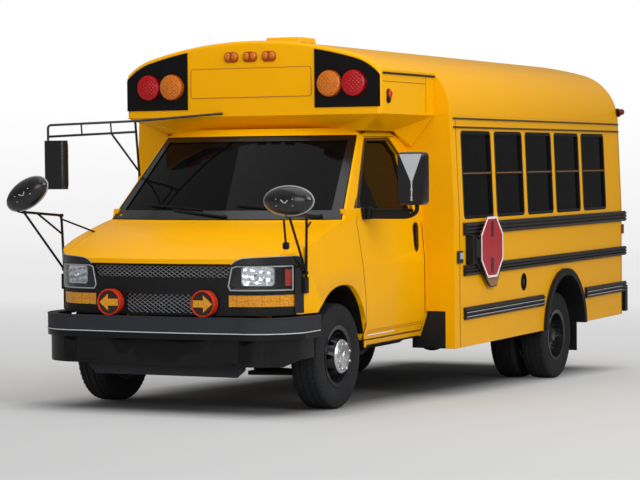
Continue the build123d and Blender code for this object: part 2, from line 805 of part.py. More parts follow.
flare_depth = 34
flap_bottom = 60
splash_inner = 862
with BuildPart() as rear_flares:
    for sign in (-1, 1):
        with BuildSketch(Plane.YZ.offset(sign * body_half)):
            with Locations((rear_arch_y, rear_arch_height)):
                Circle(rear_arch_radius + flare_width)
                Circle(rear_arch_radius, mode=Mode.SUBTRACT)
            with Locations((rear_arch_y, rear_arch_height - 1000)):
                Rectangle(3000, 2000 + 2 * (skirt_height - rear_arch_height), mode=Mode.SUBTRACT)
        extrude(amount=sign * flare_depth)
        # mud flap behind the twin wheels
        with BuildSketch(Plane.XY.offset(flap_bottom)):
            with Locations((sign * (wheel_box_inner + box_skin + inner_half) / 2, rear_arch_y + rear_arch_radius - 4)):
                Rectangle(inner_half - wheel_box_inner - box_skin - 2, 8)
        extrude(amount=floor_top - flap_bottom)
    # the black panel under the body's front, between the cab and the corner post
    with BuildSketch(across(left_wall_front + 20)):
        with Locations(((splash_inner + body_half - post_width) / 2, (skirt_height + panel_foot) / 2)):
            Rectangle(body_half - post_width - splash_inner - 2 * seat_gap, panel_foot - skirt_height - 2 * seat_gap)
    extrude(amount=20)

rear_bumper_depth = 120
with BuildPart() as rear_bumper:
    with BuildSketch(Plane.XY.offset(330)):
        with Locations((0, body_rear + rear_bumper_depth / 2)):
            Rectangle(body_width + 20, rear_bumper_depth)
        with Locations((0, body_rear + 22)):
            Rectangle(body_width - 60, 60, mode=Mode.SUBTRACT)
    extrude(amount=240)
    fillet(rear_bumper.edges().filter_by(Axis.Z).sort_by(Axis.Y)[-2:], 60)


def bumper_plan(inset):
    """Plan of the front bumper, inset towards the middle."""
    half, front = bumper_half - inset, bumper_front + inset
    ThreePointArc((-620, front + 34), (0, front), (620, front + 34))
    ThreePointArc((620, front + 34), (890 - inset / 2, -830 + inset / 2), (half, -640))
    Polyline((half, -640), (half, bumper_end), (-half, bumper_end), (-half, -640))
    ThreePointArc((-half, -640), (-890 + inset / 2, -830 + inset / 2), (-620, front + 34))


bumper_end = -380
wheel_clear = -440
bumper_skin = 18
bumper_shelf = 90
bumper_lip = 540
dam_bottom = 275
with BuildPart() as front_bumper:
    for foot, inset, head in ((bumper_bottom, 30, bumper_lip), (bumper_lip, 0, bumper_top)):
        with BuildSketch(Plane.XY.offset(foot)):
            with BuildLine():
                bumper_plan(inset)
            make_face()
        extrude(amount=head - foot)
    for foot, inset, head in (
        (bumper_bottom - 10, 30 + bumper_skin, bumper_lip + bumper_skin),
        (bumper_lip + bumper_skin, bumper_skin, bumper_top - bumper_skin),
        (bumper_top - bumper_skin, bumper_shelf, bumper_top + 10),
    ):
        with BuildSketch(Plane.XY.offset(foot)):
            with BuildLine():
                bumper_plan(inset)
            make_face()
        extrude(amount=head - foot, mode=Mode.SUBTRACT)
    # only the outer skin reaches back beside the wheels
    with BuildSketch(Plane.XY.offset(bumper_bottom - 10)):
        with Locations((0, wheel_clear + 300)):
            Rectangle(2 * bumper_half, 600)
    extrude(amount=bumper_lip - bumper_bottom + 10, mode=Mode.SUBTRACT)
    with BuildSketch(Plane.XY.offset(bumper_lip)):
        with Locations((0, wheel_clear + 300)):
            Rectangle(2 * (bumper_half - bumper_skin), 600)
    extrude(amount=bumper_top - bumper_lip + 10, mode=Mode.SUBTRACT)
    # the lower corners are cut away
    with BuildSketch(across(-380)):
        for side in (-1, 1):
            with BuildLine():
                Polyline(
                    (side * (bumper_half + 1), bumper_bottom + 60),
                    (side * (bumper_half - 100), bumper_bottom - 1),
                    (side * (bumper_half + 1), bumper_bottom - 1),
                    close=True,
                )
            make_face()
    extrude(amount=700, mode=Mode.SUBTRACT)
    # air dam below
    with BuildSketch(across(-748)):
        with BuildLine():
            Polyline(
                (-620, bumper_bottom + 60), (-610, dam_bottom + 50), (-550, dam_bottom),
                (550, dam_bottom), (610, dam_bottom + 50), (620, bumper_bottom + 60), close=True,
            )
        make_face()
    extrude(amount=24)
    with BuildSketch(Plane.XY.offset(bumper_bottom)):
        with Locations((0, -830)):
            Rectangle(1200, 150)
    extrude(amount=20)
    # brackets back to the frame rails
    for side in (-1, 1):
        with BuildSketch(across(frame_front - seat_gap)):
            with Locations((side * frame_half, frame_top - frame_depth_rail / 2)):
                Rectangle(channel_width, 110)
        extrude(amount=150)

# ---------------------------------------------------------------- nose: grille, lamps
grille_inset = 10              # behind the nose's outline
grille_thickness = 70
grille_top = 1044
grille_bottom = 700
pocket_floor = 60              # the lamps' pockets reach this far behind the nose's outline
upper_mesh = [(-545, 1036), (-512, 955), (512, 955), (545, 1036)]
lower_mesh = [(-262, 842), (-262, 712), (262, 712), (262, 842)]
mesh_pitch_x = 42
mesh_pitch_z = 27
mesh_bar = 7
mesh_thickness = 10
lamp_x, lamp_z = 708, 966
lamp_width, lamp_height = 205, 128
signal_x, signal_z = 715, 800
signal_width, signal_height = 396, 86
bezel = [(535, 872), (520, 900), (545, 1022), (575, 1034), (905, 1034), (905, 872)]
slab_rear = -564


def nose_slab(front_inset, thickness, bottom, top):
    """A slab that follows the nose's plan between two heights."""
    with BuildPart() as slab:
        with BuildSketch(Plane.XY.offset(bottom)):
            with BuildLine():
                nose_outline(front_inset)
            make_face()
            with BuildLine():
                nose_outline(front_inset + thickness)
            make_face(mode=Mode.SUBTRACT)
            with Locations((0, slab_rear + 1500)):
                Rectangle(2400, 3000, mode=Mode.SUBTRACT)
        extrude(amount=top - bottom)
    return slab.part


def inset_outline(points, gap):
    """Corners of a front opening, drawn in by a gap."""
    middle_x, middle_z = (sum(p[i] for p in points) / len(points) for i in (0, 1))
    return [(x - math.copysign(gap, x - middle_x), z - math.copysign(gap, z - middle_z)) for x, z in points]


def front_face(points, depth=400):
    """A prism through the nose from an outline in front view."""
    with BuildPart() as prism:
        with BuildSketch(across(-500)):
            with BuildLine():
                Polyline(*points, close=True)
            make_face()
        extrude(amount=depth + 200)
    return prism.part


with BuildPart() as grille:
    add(nose_slab(grille_inset, grille_thickness, grille_bottom, grille_top))
    with BuildSketch(across(-500)):
        Rectangle(2 * 922.7, 3000)
    extrude(amount=600, mode=Mode.INTERSECT)
    # pockets for the headlamps, closed behind
    with BuildPart(mode=Mode.SUBTRACT):
        add(nose_slab(-40, 40 + pocket_floor, bezel[0][1] - 10, bezel[3][1] + 2))
        with BuildSketch(across(-500)):
            for side in (-1, 1):
                with BuildLine():
                    Polyline(*[(side * x, z) for x, z in bezel], close=True)
                make_face()
        extrude(amount=600, mode=Mode.INTERSECT)
    with BuildSketch(across(-500)):
        for side in (-1, 1):
            with Locations((side * signal_x, signal_z)):
                Rectangle(signal_width, signal_height)
    extrude(amount=600, mode=Mode.SUBTRACT)
    add(front_face(upper_mesh), mode=Mode.SUBTRACT)
    add(front_face(lower_mesh), mode=Mode.SUBTRACT)


def mesh_panel(outline):
    """A lattice of crossed bars in flat facets behind the nose's curve: a plate with rows of diamond holes."""
    points = inset_outline(outline, seat_gap)
    half = max(x for x, z in points)
    low, high = min(z for x, z in points), max(z for x, z in points)
    plan = []
    for n in range(-3, 4):
        x = half * n / 3
        plan.append((x, cab_nose + grille_inset + 22 + 62 * (x / 600) ** 2))
    with BuildPart() as panel:
        with BuildSketch(Plane.XY.offset(low)):
            with BuildLine():
                Polyline(*plan, *[(x, y + mesh_thickness) for x, y in reversed(plan)], close=True)
            make_face()
        extrude(amount=high - low)
        with BuildSketch(across(-500)):
            with BuildLine():
                Polyline(*points, close=True)
            make_face()
        extrude(amount=600, mode=Mode.INTERSECT)
        hole_x, hole_z = mesh_pitch_x / 2 - mesh_bar, mesh_pitch_z / 2 - mesh_bar * mesh_pitch_z / mesh_pitch_x
        with BuildSketch(across(-500)):
            rows = int((high - low) / (mesh_pitch_z / 2)) - 1
            for row in range(1, rows + 1):
                z = low + row * (high - low) / (rows + 1)
                reach = half - 8 - mesh_pitch_x / 2
                if outline is upper_mesh:
                    reach -= 34 * (high - z) / (high - low)
                count = int(reach / mesh_pitch_x)
                shift = mesh_pitch_x / 2 if row % 2 else 0
                spots = [(n * mesh_pitch_x + shift, z) for n in range(-count - 1, count + 1)]
                with Locations(*[spot for spot in spots if abs(spot[0]) < reach]):
                    with BuildLine(mode=Mode.PRIVATE) as diamond:
                        Polyline((hole_x, 0), (0, hole_z), (-hole_x, 0), (0, -hole_z), close=True)
                    add(make_face(diamond.line.edges(), mode=Mode.PRIVATE))
        extrude(amount=600, mode=Mode.SUBTRACT)
    return panel.part


with BuildPart() as grille_mesh:
    add(mesh_panel(upper_mesh))
    add(mesh_panel(lower_mesh))

with BuildPart() as headlamps:
    add(nose_slab(pocket_floor - 24, 24 - seat_gap, lamp_z - lamp_height, lamp_z + lamp_height))
    with BuildSketch(across(-500)):
        for side in (-1, 1):
            with Locations((side * lamp_x, lamp_z)):
                RectangleRounded(lamp_width, lamp_height, 22)
    extrude(amount=600, mode=Mode.INTERSECT)

warning_lamp_radius = 98
warning_lamp_z = eave_height + 225
red_lamp_x = cap_half - 205
amber_lamp_x = cap_half - 401
lamp_depth = 45
clearance_x = 156
clearance_z = crown_height - 120
tail_lamp_x = body_half - 219
arrow_lamp = (367, 783)
arrow_radius = arrow_lamp[1] - bumper_top - 0.3

with BuildPart() as lamp_panels:
    for y, outward in ((cap_front, -1), (body_rear, 1)):
        for side in (-1, 1):
            with BuildSketch(across(y)):
                with BuildLine():
                    arch_lines(30)
                make_face()
                with Locations((side * (cap_half - 267), eave_height + 352)):
                    Rectangle(524, 600, mode=Mode.INTERSECT)
            extrude(amount=-outward * 8)

with BuildPart() as red_lamps:
    for y, outward in ((cap_front - 8, -1), (body_rear + 8, 1)):
        with BuildSketch(across(y)):
            with Locations((red_lamp_x, warning_lamp_z), (-red_lamp_x, warning_lamp_z)):
                Circle(warning_lamp_radius)
        extrude(amount=-outward * lamp_depth, taper=20)
    # rear stop and tail lamps, clearance lamps at the rear
    with BuildSketch(across(body_rear)):
        with Locations((tail_lamp_x, 1010), (-tail_lamp_x, 1010)):
            Circle(90)
        with Locations((0, clearance_z), (clearance_x, clearance_z), (-clearance_x, clearance_z)):
            RectangleRounded(100, 60, 20)
    extrude(amount=-28)

with BuildPart() as amber_lamps:
    for y, outward in ((cap_front - 8, -1), (body_rear + 8, 1)):
        with BuildSketch(across(y)):
            with Locations((amber_lamp_x, warning_lamp_z), (-amber_lamp_x, warning_lamp_z)):
                Circle(warning_lamp_radius)
        extrude(amount=-outward * lamp_depth, taper=20)
    with BuildSketch(across(cap_front)):
        with Locations((0, clearance_z), (clearance_x, clearance_z), (-clearance_x, clearance_z)):
            RectangleRounded(120, 80, 30)
    extrude(amount=28, taper=10)
    # rear turn lamps
    with BuildSketch(across(body_rear)):
        with Locations((tail_lamp_x, 800), (-tail_lamp_x, 800)):
            Circle(90)
    extrude(amount=-28)

with BuildPart() as turn_signals:
    add(nose_slab(14, 36, signal_z - signal_height / 2 + seat_gap, signal_z + signal_height / 2 - seat_gap))
    with BuildSketch(across(-500)):
        for side in (-1, 1):
            with Locations((side * signal_x, signal_z)):
                Rectangle(signal_width - 2 * seat_gap, signal_height)
    extrude(amount=600, mode=Mode.INTERSECT)

with BuildPart() as arrow_lamps:
    with BuildSketch(across(-855)):
        with Locations((arrow_lamp[0], arrow_lamp[1]), (-arrow_lamp[0], arrow_lamp[1])):
            Circle(arrow_radius)
    extrude(amount=45)

# ---------------------------------------------------------------- mirrors
mirror_reach = 1451
tube = 9


def rod(points, radius, bend=24):
    """A bent tube through the points, with a bend radius at each corner."""
    with BuildPart() as bar:
        with BuildLine():
            if len(points) > 2:
                FilletPolyline(*points, radius=bend)
            else:
                Line(*points)
        with BuildSketch(Plane(origin=points[0], z_dir=Vector(*points[1]) - Vector(*points[0]))):
            Circle(radius)
        sweep()
    return bar.part


def dome(centre, half_wide, half_tall, depth):
    """An oval mirror head: an elliptical bowl that narrows towards the front."""
    with BuildPart() as bowl:
        for part_depth, share in ((0, 1), (0.55, 0.88), (1, 0.5)):
            with BuildSketch(Plane(origin=centre, x_dir=(1, 0, 0), z_dir=(0, -1, 0)).offset(part_depth * depth)):
                Ellipse(half_wide * share, half_tall * share)
        loft()
    return bowl.part


with BuildPart() as driver_mirror:
    with BuildSketch(Plane.XY.offset(1425)):
        with Locations((mirror_reach - 105, 450)):
            RectangleRounded(210, 90, 30)
    extrude(amount=377)
    with BuildSketch(Plane.XY.offset(1350)):
        with Locations(((cab_half + mirror_reach - 105) / 2 - 10.3, 470)):
            Rectangle(mirror_reach - 105 - cab_half + 41, 40)
    extrude(amount=28)
    with BuildSketch(Plane.XY.offset(1350)):
        with Locations((mirror_reach - 105, 470)):
            Rectangle(50, 40)
    extrude(amount=100)

with BuildPart() as entrance_mirror:
    with BuildSketch(Plane.XY.offset(1552)):
        with Locations((-mirror_reach + 90, 30)):
            RectangleRounded(180, 80, 30)
    extrude(amount=363)
    # two rods out to the head, tied to each other, and two struts down to the pillar
    post = mirror_reach - 21
    knee = (-830, 290, 2055)
    upper = [tuple(a + (b - a) * t for a, b in zip(knee, (-post, 30, 2030))) for t in (0, 0.283, 0.62, 1)]
    lower = [tuple(a + (b - a) * t for a, b in zip((-839, 318, 1975), (-post + 5, 32, 1945))) for t in (0, 0.283, 0.62, 1)]
    add(rod([(-230, cap_front - tube + 0.4, 2105), knee, (-post, 30, 2030), (-post, 30, 1900)], tube))
    add(rod([(-830, 290, 2058), (-876, 425, 1645)], tube))
    add(rod([lower[0], lower[3]], tube))
    brace_head = (lower[1][0], lower[1][1], lower[1][2] - 3)
    add(rod([brace_head, (-872, 412, 1680)], tube - 1))
    for a, b in zip(upper[1:3], lower[1:3]):
        add(rod([a, b], 6))

with BuildPart() as crossview_mirrors:
    for side in (-1, 1):
        add(dome((side * 1020, -890, 1480), 182, 95, 70))
        add(rod([(side * 1020, -896, 1440), (side * 1020, -896, 1370), (side * 985, -430, 1370), (side * 973.3, -430, 860)], tube))
        add(rod([(side * 1020, -880, 1372), (side * 977, -430, 1000)], tube))

# ---------------------------------------------------------------- stop arm
stop_axis = (body_half + 52, 1845)
stop_centre = (2205, 1060)
stop_half = 239
stop_z = 1060
stop_slot = 170
housing_height = 224
housing_z = (rails[0][0] + rails[1][1]) / 2

with BuildPart() as stop_housing:
    with BuildSketch(Plane.YZ.offset(body_half)):
        with Locations((stop_axis[1] + 50, housing_z)):
            RectangleRounded(240, housing_height, 12)
    extrude(amount=30)
    with BuildSketch(Plane.XY.offset(housing_z - housing_height / 2)):
        with Locations((body_half + 40, stop_axis[1] - 38)):
            Rectangle(40, 60)
    extrude(amount=housing_height)
    with BuildSketch(Plane.XY.offset(stop_z - stop_slot / 2)):
        with Locations((body_half + 50, stop_axis[1])):
            Rectangle(70, 60)
    extrude(amount=stop_slot, mode=Mode.SUBTRACT)
    for end in (-1, 1):
        with Locations((stop_axis[0], stop_axis[1], stop_z + end * (stop_slot / 2 + 5))):
            Cylinder(12, 10)
        with Locations((body_half + 26, stop_axis[1], stop_z + end * (stop_slot / 2 + 5))):
            Box(52, 24, 10)
    # the wind guard's tongue under the sign, from the housing's foot
    with BuildSketch(Plane.YZ.offset(body_half + rail_depth + 2)):
        with BuildLine():
            Polyline(
                (stop_axis[1] + 60, housing_z - housing_height / 2 + 30), (stop_axis[1] + 60, housing_z - housing_height / 2),
                (2076, 842), (2205, 745), (2347, 745), (2415, 842), (2415, 900), (2140, 972), close=True,
            )
        make_face()
    extrude(amount=8)

with BuildPart() as stop_sign:
    with BuildSketch(Plane.YZ.offset(stop_axis[0] - 4)):
        with Locations((stop_centre[0], stop_z)):
            RegularPolygon(stop_half / math.cos(math.radians(22.5)), 8, rotation=22.5)
        with Locations(((stop_axis[1] + stop_centre[0]) / 2, stop_z)):
            Rectangle(stop_centre[0] - stop_axis[1], 140)
    extrude(amount=8)
    with Locations((stop_axis[0], stop_axis[1], stop_z)):
        Cylinder(10, stop_slot - 2 * seat_gap)

# ---------------------------------------------------------------- entrance leaves and emergency door
leaf_width = (entrance_width - leaf_gap - 2 * seat_gap) / 2
leaf_bottom = entrance_bottom + door_gap
leaf_top = entrance_top - door_gap
leaf_border = 52
leaf_split = 900               # rail between the lower and the upper pane


def leaf_panes(y, grow):
    """The two openings of a leaf in side view."""
    for low, high in ((leaf_bottom + leaf_border, leaf_split - 20), (leaf_split + 20, leaf_top - leaf_border)):
        with Locations((y, (low + high) / 2)):
            Rectangle(leaf_width - 2 * leaf_border + 2 * grow, high - low + 2 * grow)


def leaf(front):
    """One leaf of the entrance door, its section leaning with the wall."""
    with BuildPart() as panel:
        with BuildSketch(across(front + leaf_width)):
            with BuildLine():
                Polyline(*side_strip(-1, 2, leaf_thickness, leaf_bottom, leaf_top), close=True)
            make_face()
        extrude(amount=leaf_width)
        with BuildSketch(Plane.YZ.offset(-body_half - 20)):
            leaf_panes(front + leaf_width / 2, 0)
        extrude(amount=200, mode=Mode.SUBTRACT)
    return panel.part


def leaf_glass(front):
    """The panes of one leaf."""
    with BuildPart() as panes:
        with BuildSketch(across(front + leaf_width)):
            with BuildLine():
                Polyline(*side_strip(-1, 18, pane_thickness, leaf_bottom, leaf_top), close=True)
            make_face()
        extrude(amount=leaf_width)
        with BuildSketch(Plane.YZ.offset(-body_half - 20)):
            leaf_panes(front + leaf_width / 2, -0.5)
        extrude(amount=200, mode=Mode.INTERSECT)
    return panes.part


leaf_front = entrance_front + seat_gap
leaf_rear = leaf_front + leaf_width + leaf_gap
with BuildPart() as entrance_leaf_front:
    add(leaf(leaf_front))
with BuildPart() as entrance_leaf_rear:
    add(leaf(leaf_rear))
with BuildPart() as entrance_glass_front:
    add(leaf_glass(leaf_front))
with BuildPart() as entrance_glass_rear:
    add(leaf_glass(leaf_rear))

rear_door_gap = 6
rear_door_panes = [(1020, 260), (1640, 560)]    # middle height and height
with BuildPart() as emergency_door:
    with BuildSketch(across(body_rear)):
        with Locations(((seat_gap - rear_door_gap) / 2, (rear_door_bottom + rear_door_top) / 2)):
            Rectangle(rear_door_width - rear_door_gap - seat_gap, rear_door_top - rear_door_bottom - 2 * rear_door_gap)
    extrude(amount=wall_thickness)
    with BuildSketch(across(body_rear + 10)):
        for z, height in rear_door_panes:
            with Locations((0, z)):
                RectangleRounded(500, height, 30)
    extrude(amount=2 * wall_thickness, mode=Mode.SUBTRACT)
    with BuildSketch(across(body_rear + 16)):
        with Locations((250, 1260)):
            Rectangle(120, 26)
    extrude(amount=16)

with BuildPart() as emergency_door_glass:
    with BuildSketch(across(body_rear - 20)):
        for z, height in rear_door_panes:
            with Locations((0, z)):
                RectangleRounded(499, height - 1, 29.5)
    extrude(amount=pane_thickness)

# ---------------------------------------------------------------- chassis
cross_members = [-700, 560, 1500, 2500, 3350, 4700, 5600]
with BuildPart() as chassis_frame:
    for side in (-1, 1):
        with BuildSketch(across(frame_rear)):
            with Locations((side * frame_half, frame_top - frame_depth_rail / 2)):
                Rectangle(channel_width, frame_depth_rail)
            with Locations((side * (frame_half - channel_skin), frame_top - frame_depth_rail / 2)):
                Rectangle(channel_width, frame_depth_rail - 2 * channel_skin, mode=Mode.SUBTRACT)
        extrude(amount=frame_rear - frame_front)
    for y in cross_members:
        with BuildSketch(across(y + 40)):
            with Locations((0, frame_top - 85)):
                Rectangle(2 * (rail_side - channel_skin), 110)
        extrude(amount=80)
    # tie-down holes in the lower flanges at the rear, and pads to lift the bus by
    with BuildSketch(Plane.XY.offset(frame_top - frame_depth_rail - 5)):
        with Locations((frame_half, frame_rear - tow_inset), (-frame_half, frame_rear - tow_inset)):
            Circle(tow_hole_radius)
    extrude(amount=2 * channel_skin, mode=Mode.SUBTRACT)
    with BuildSketch(Plane.XY.offset(frame_top - frame_depth_rail - jack_pad)):
        with Locations((frame_half, 1000), (-frame_half, 1000)):
            Rectangle(channel_width, 120)
    extrude(amount=jack_pad)
    # body mounts that carry the floor
    for y in (1700, 2900, 4650, 5500):
        with BuildSketch(across(y + 40)):
            with Locations((0, (frame_top + floor_top - floor_thickness) / 2)):
                Rectangle(2 * frame_half + 60, floor_top - floor_thickness - frame_top)
        extrude(amount=80)

with BuildPart() as engine_block:
    with Locations((0, -210, 760)):
        Box(520, 700, 420)
    with Locations((0, -210, frame_top + seat_gap + 25)):
        Box(2 * frame_half, 80, 50)

with BuildPart() as fuel_tank:
    with Locations((0, 5100, 440)):
        Box(640, 600, 200)
    for y in (4950, 5250):
        with Locations((0, y, frame_top - frame_depth_rail - seat_gap - 4)):
            Box(2 * rail_side, 40, 8)

muffler_z = frame_top - 140 - 90 - seat_gap
with BuildPart() as exhaust:
    with Locations((250, 2300, muffler_z)):
        Cylinder(90, 700, rotation=(90, 0, 0))
    add(rod([(250, 500, muffler_z), (250, 1960, muffler_z)], 30))
    add(rod([(250, 2640, muffler_z), (250, 3100, muffler_z), (560, 3300, muffler_z), (1150, 3400, muffler_z)], 30))

kingpin_radius = 28
arm_end = kingpin_x + 20
lower_arm_top = 265
upper_arm_bottom = 500
with BuildPart() as front_suspension:
    with Locations((0, 0, 400)):
        Box(2 * frame_half - channel_width, 160, 90)
    for side in (-1, 1):
        with BuildSketch(Plane.XY.offset(235)):
            with BuildLine():
                Polyline((side * 330, -170), (side * 330, 170), (side * arm_end, 40), (side * arm_end, -40), close=True)
            make_face()
        extrude(amount=30)
        with BuildSketch(Plane.XY.offset(265)):
            with Locations((side * 350, 0)):
                Rectangle(60, 120)
        extrude(amount=100)
        with BuildSketch(Plane.XY.offset(500)):
            with BuildLine():
                Polyline((side * rail_side, -120), (side * rail_side, 120), (side * arm_end, 30), (side * arm_end, -30), close=True)
            make_face()
        extrude(amount=24)

# ---------------------------------------------------------------- unsprung pieces, drawn true to the ground


def tyre(x, y):
    """A tyre as a turned profile around its axle."""
    w, r, b = tyre_width / 2, wheel_radius, rim_diameter / 2
    profile = [(-w * 0.72, b), (-w * 0.98, b + 55), (-w, b + 90), (-w * 0.93, r - 28), (-w * 0.8, r - 6), (-w * 0.4, r),
               (w * 0.4, r), (w * 0.8, r - 6), (w * 0.93, r - 28), (w, b + 90), (w * 0.98, b + 55), (w * 0.72, b)]
    with BuildPart() as ring:
        with BuildSketch(Plane(origin=(x, y, wheel_radius), x_dir=(1, 0, 0), z_dir=(0, -1, 0))):
            with BuildLine():
                Polyline(*profile, close=True)
            make_face()
        revolve(axis=Axis((x, y, wheel_radius), (1, 0, 0)))
    return ring.part


def rim(x, y, sign, hub_out, hub_radius, bore):
    """A steel rim: barrel, dish with hand holes and hub, opening outwards by sign."""
    w, b = tyre_width / 2, rim_diameter / 2
    well = b - 26
    with BuildPart() as disc:
        profile = [(-0.88 * w, b + 16), (-0.82 * w, b + 16), (-0.74 * w, b - 0.3), (0.74 * w, b - 0.3),
                   (0.82 * w, b + 16), (0.88 * w, b + 16), (0.84 * w, b - 14), (0.2 * w, well - 8), (-0.84 * w, b - 14)]
        with BuildSketch(Plane(origin=(x, y, wheel_radius), x_dir=(sign, 0, 0), z_dir=(0, -sign, 0))):
            with BuildLine():
                Polyline(*profile, close=True)
            make_face()
        revolve(axis=Axis((x, y, wheel_radius), (1, 0, 0)))
        with BuildSketch(Plane(origin=(x, y, wheel_radius), x_dir=(sign, 0, 0), z_dir=(0, -sign, 0))):
            with BuildLine():
                Polyline((hub_out - 12, bore), (hub_out, bore), (hub_out, hub_radius), (hub_out - 60, b - 60), (0.25 * w, well),
                         (0.05 * w, well), (hub_out - 74, b - 66), (hub_out - 12, hub_radius - 6), close=True)
            make_face()
        revolve(axis=Axis((x, y, wheel_radius), (1, 0, 0)))
        with BuildSketch(Plane(origin=(x, y, wheel_radius), x_dir=(0, 1, 0), z_dir=(1, 0, 0))):
            with PolarLocations(b - 62, 8):
                Circle(20)
        extrude(amount=200, both=True, mode=Mode.SUBTRACT)
    return disc.part




def hub_cap(side):
    """The bright cap over the front hub: a turned dish with eight windows and a centre button."""
    face = hub_out + seat_gap
    x = side * front_x
    with BuildPart() as cap:
        with BuildSketch(Plane(origin=(x, 0, wheel_radius), x_dir=(side, 0, 0), z_dir=(0, -side, 0))):
            with BuildLine():
                Polyline(
                    (face, 0), (face, 118), (face + 5, 120), (face + 12, 116), (face + 32, 78), (face + 34, 44),
                    (face + 40, 40), (face + 42, 30), (face + 42, 0), close=True,
                )
            make_face()
        revolve(axis=Axis((x, 0, wheel_radius), (1, 0, 0)))
        with BuildSketch(Plane(origin=(x + side * (face + 10), 0, wheel_radius), x_dir=(0, 1, 0), z_dir=(side, 0, 0))):
            with PolarLocations(92, 8):
                RectangleRounded(24, 28, 5)
        extrude(amount=40, mode=Mode.SUBTRACT)
    return cap.part


hub_bore = 62
hub_out = 118                  # the front wheel's face beyond its middle plane
hub_face_radius = 120
front_x = front_track / 2
rear_outer_x = rear_track / 2 + twin_spacing / 2
rear_inner_x = rear_track / 2 - twin_spacing / 2

wheels = {}
for name, side in (("left", 1), ("right", -1)):
    wheels["tyre_front_" + name] = tyre(side * front_x, 0)
    wheels["rim_front_" + name] = rim(side * front_x, 0, side, hub_out, hub_face_radius, hub_bore)
    wheels["hub_cap_" + name] = hub_cap(side)
    wheels["tyres_rear_" + name] = tyre(side * rear_outer_x, wheelbase) + tyre(side * rear_inner_x, wheelbase)
    wheels["rims_rear_" + name] = rim(side * rear_outer_x, wheelbase, -side, hub_out, hub_face_radius, hub_bore) + rim(
        side * rear_inner_x, wheelbase, side, hub_out, hub_face_radius, hub_bore
    )

knuckles = {}
for name, side in (("left", 1), ("right", -1)):
    with BuildPart() as knuckle:
        with Locations((side * kingpin_x, 0, (lower_arm_top + upper_arm_bottom) / 2)):
            Cylinder(kingpin_radius, upper_arm_bottom - lower_arm_top - 2 * seat_gap)
        with Locations((side * (kingpin_x + front_x + hub_out) / 2, 0, wheel_radius)):
            Cylinder(hub_bore - 0.4, front_x + hub_out - kingpin_x, rotation=(0, 90, 0))
    knuckles["knuckle_" + name] = knuckle

spring_z = wheel_radius + 100
with BuildPart() as rear_axle:
    with Locations((0, wheelbase, wheel_radius)):
        Cylinder(50, 2 * (rear_inner_x - hub_out - 20), rotation=(0, 90, 0))
        Sphere(165)
        Cylinder(hub_bore - 0.4, 2 * (rear_outer_x + 40), rotation=(0, 90, 0))
    for side in (-1, 1):
        with Locations((side * frame_half, wheelbase, wheel_radius + 45)):
            Box(80, 130, 90)
        with Locations((side * frame_half, wheelbase, spring_z)):
            Box(64, 1300, 30)
        for y in (wheelbase - 620, wheelbase + 620):
            top = wheel_radius + (frame_top - frame_depth_rail - wheel_radius) + (y - 30) * rake_sine - seat_gap
            with BuildSketch(Plane.XY.offset(spring_z)):
                with Locations((side * frame_half, y)):
                    Rectangle(64, 60)
            extrude(amount=top - spring_z)

# ---------------------------------------------------------------- inside
seat_pitch = 700
seat_rows_left = [2250 + seat_pitch * n for n in range(5)]
seat_rows_right = [2460 + seat_pitch * n for n in range(5)]
seat_width = 880
seat_middle = inner_half - 30 - seat_width / 2


def bench(x, y, width):
    """A bench seat: a cushion and a high back on a frame, with two legs."""
    with BuildPart() as seat:
        for outline in (
            ((y - 420, 1060), (y - 420, 1150), (y - 60 - seat_gap, 1150), (y - 60 - seat_gap, 1060)),
            ((y - 60, 1060), (y - 60, 1150), (y, 1640), (y + 90, 1640), (y + 40, 1060)),
        ):
            with BuildSketch(Plane.YZ.offset(x)):
                with BuildLine():
                    Polyline(*outline, close=True)
                make_face()
            extrude(amount=width / 2, both=True)
        for foot_x in (x - width / 3, x + width / 3):
            on_box = abs(foot_x) > wheel_box_inner and abs(y - 180 - rear_arch_y) < rear_arch_radius + box_skin
            foot = wheel_box_top if on_box else floor_top
            with BuildSketch(Plane.XY.offset(foot)):
                with Locations((foot_x, y - 180)):
                    Rectangle(40, 200)
            extrude(amount=1060 - seat_gap - foot)
    return seat.part


with BuildPart() as seats:
    for y in seat_rows_left:
        add(bench(seat_middle, y, seat_width))
    for y in seat_rows_right:
        add(bench(-seat_middle, y, seat_width))
    with BuildSketch(Plane.YZ.offset(480)):
        with BuildLine():
            Polyline((760, 945), (760, 1040), (1220, 1030), (1220, 945), close=True)
        make_face()
        with BuildLine():
            Polyline((1220 + seat_gap, 945), (1220 + seat_gap, 1030), (1300, 1640), (1400, 1640), (1310, 945), close=True)
        make_face()
    extrude(amount=250, both=True)
    with BuildSketch(Plane.XY.offset(cab_floor)):
        with Locations((480, 1020)):
            Rectangle(360, 400)
    extrude(amount=345 - seat_gap)

wheel_centre = (480, 600, 1230)
wheel_tilt = 35
wheel_lean = (0, math.cos(math.radians(wheel_tilt)), math.sin(math.radians(wheel_tilt)))
with BuildPart() as dashboard:
    with BuildSketch(Plane.YZ.offset(-900)):
        with BuildLine():
            Polyline((190.3, 1000), (190.3, 1290), (330, 1290), (480, 1220), (460, 1040), (380, 980), close=True)
        make_face()
    extrude(amount=1730)
    # steering column
    with BuildSketch(Plane(origin=wheel_centre, z_dir=wheel_lean).offset(-seat_gap)):
        Circle(26)
    extrude(amount=-250)

with BuildPart() as steering_wheel:
    with BuildSketch(Plane(origin=wheel_centre, z_dir=wheel_lean)):
        Circle(190)
        Circle(166, mode=Mode.SUBTRACT)
        Circle(50)
        Rectangle(350, 30)
    extrude(amount=24)

# ---------------------------------------------------------------- lean the sprung pieces and write every piece
lean = (
    Location((0, -origin_y, wheel_radius))
    * Location((0, 0, 0), (rake, 0, 0))
    * Location((0, 0, -wheel_radius))
)
stand = Location((0, -origin_y, 0))

